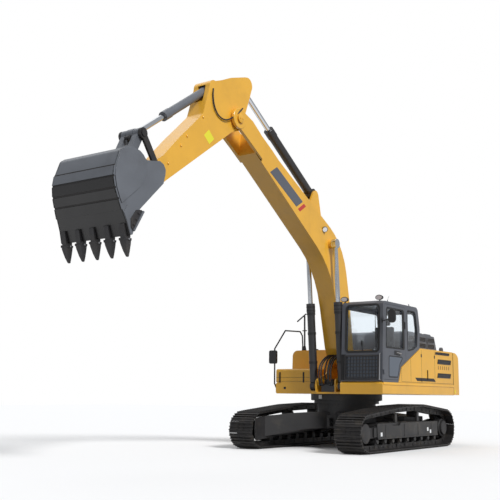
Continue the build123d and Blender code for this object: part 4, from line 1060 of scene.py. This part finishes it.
base = Bits()
base.box(30, 420, SEAT_Y - 160, SEAT_Y + 160, 1512, 1900)
base.box(-60, 460, SEAT_Y - 215, SEAT_Y + 215, 1900, 1985)
seat_base = piece("seat_base", base, PLASTIC, "house", bevel=12.0)
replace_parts(seat_base, "seat")
bottom = cushion("seat_cushion", (-60, SEAT_Y - 230, 1990), (460, SEAT_Y + 230, 2090), 0.018)
rest = cushion("seat_back", (-110, SEAT_Y - 225, 2100), (0, SEAT_Y + 225, 2700), 0.018)
head = cushion("seat_headrest", (-125, SEAT_Y - 130, 2730), (-35, SEAT_Y + 130, 2900), 0.012)
console = Bits().box(560, 760, SEAT_Y - 40, SEAT_Y + 40, 1506, 1560)
for sign in (-1, 1):
    y = SEAT_Y + sign * 320
    console.box(60, 480, y - 60, y + 60, 1960, 2120)
    console.tube(((420, y, 2110), (425, y, 2200), (430, y, 2290)), 14, 10)
    console.lathe((430, y, 2250), (436, y, 2380), ((0, 20), (0.4, 28), (0.8, 30), (1, 18)), 14)
    y = SEAT_Y + sign * 60
    console.tube(((700, y, 1510), (740, y, 1750), (720, y, 1990)), 10, 8)
    y = SEAT_Y + sign * 90
    console.box(640, 800, y - 45, y + 45, 1530, 1550)
piece("cab_consoles", console, PLASTIC, "house", bevel=6.0)
monitor = Bits().box(880, 905, 1250, 1380, 2120, 2350)
piece("cab_monitor", monitor, PLASTIC, "house", bevel=6.0)
lining = Bits()
lining.box(-700, 950, CAB_IN + 56, CAB_OUT - 56, 1507, 1512)
lining.box(-760, -300, CAB_IN + 60, CAB_OUT - 60, 1900, 2180)
piece("cab_lining", lining, INTERIOR, "house", bevel=6.0)

# floor, light and camera
FLOOR_HALF, FLOOR_Z = 60, -0.002
FLOOR_SEEN, FLOOR_BOUNCE = (0.94, 0.94, 0.94, 1), (0.20, 0.20, 0.20, 1)


def seen_by(tree, *kinds):
    """One where the ray is of any of these kinds, else nothing."""
    path = node(tree, "LightPath", {}).outputs
    value = path["Is %s Ray" % kinds[0]]
    for kind in kinds[1:]:
        value = maths(tree, "MAXIMUM", value, path["Is %s Ray" % kind])
    return value


def floor_material():
    """White to the camera, grey to the light that comes back up off it."""
    mat = bpy.data.materials.new("floor_white")
    mat.use_nodes = True
    tree = mat.node_tree
    tone = mixed(tree, seen_by(tree, "Camera", "Glossy", "Transmission"), FLOOR_BOUNCE, FLOOR_SEEN)
    inputs = {"Roughness": 1.0, "Specular IOR Level": 0.0, "Base Color": tone}
    feed(tree, tree.nodes["Principled BSDF"], inputs)
    return mat


floor_mesh = bpy.data.meshes.new("floor")
corners = [(x * FLOOR_HALF, y * FLOOR_HALF, FLOOR_Z) for x, y in ((-1, -1), (1, -1), (1, 1), (-1, 1))]
floor_mesh.from_pydata(corners, [], [(0, 1, 2, 3)])
floor = bpy.data.objects.new("floor", floor_mesh)
bpy.context.scene.collection.objects.link(floor)
floor.data.materials.append(floor_material())

# white to the camera, softer and a little blue as light
world = bpy.data.worlds.new("studio")
bpy.context.scene.world = world
world.use_nodes = True
tree = world.node_tree
tree.nodes.clear()
white = node(tree, "Background", {"Color": (1, 1, 1, 1), "Strength": 1.0}).outputs["Background"]
soft = node(tree, "Background", {"Color": (0.95, 0.97, 1.0, 1), "Strength": 0.50}).outputs["Background"]
sky = node(tree, "MixShader", {"Fac": seen_by(tree, "Camera", "Transmission"), 1: soft, 2: white})
node(tree, "OutputWorld", {"Surface": sky.outputs["Shader"]})

LIGHTS = (("key", (0.30, 1.0, 0.85), 2.35, 16), ("fill", (-0.2, -0.6, 1.0), 0.35, 40))
for name, towards, strength, angle in LIGHTS:
    light = bpy.data.lights.new(name, "SUN")
    light.energy = strength
    light.angle = math.radians(angle)
    lamp_obj = bpy.data.objects.new(name, light)
    lamp_obj.rotation_euler = Vector(towards).to_track_quat("Z", "Y").to_euler()
    bpy.context.scene.collection.objects.link(lamp_obj)

# camera fitted to the photograph: lengths on the picture in pixels, its place in metres
PICTURE, FOCAL, SENSOR = 500, 850.308, 36.0
SHIFT_X, SHIFT_Y = -0.25, 0.55
YAW, PITCH, ROLL = math.radians(214.829), math.radians(9.703), math.radians(0.594)
CAMERA_PLACE = (17.608 + SLEW_X / 1000, 9.507, 1.126)
forward = Vector((math.cos(YAW) * math.cos(PITCH), math.sin(YAW) * math.cos(PITCH), math.sin(PITCH)))
level = Vector((math.sin(YAW), -math.cos(YAW), 0))
upright = level.cross(forward)
right = level * math.cos(ROLL) + upright * math.sin(ROLL)
up = upright * math.cos(ROLL) - level * math.sin(ROLL)
camera = bpy.data.objects.new("camera", bpy.data.cameras.new("camera"))
camera.data.sensor_width = SENSOR
camera.data.lens = FOCAL / PICTURE * SENSOR
camera.data.shift_x = SHIFT_X / PICTURE
camera.data.shift_y = SHIFT_Y / PICTURE
matrix = Matrix((right, up, -forward)).transposed().to_4x4()
matrix.translation = Vector(CAMERA_PLACE)
camera.matrix_world = matrix
bpy.context.scene.collection.objects.link(camera)
bpy.context.scene.camera = camera
bpy.context.scene.view_settings.view_transform = "Standard"
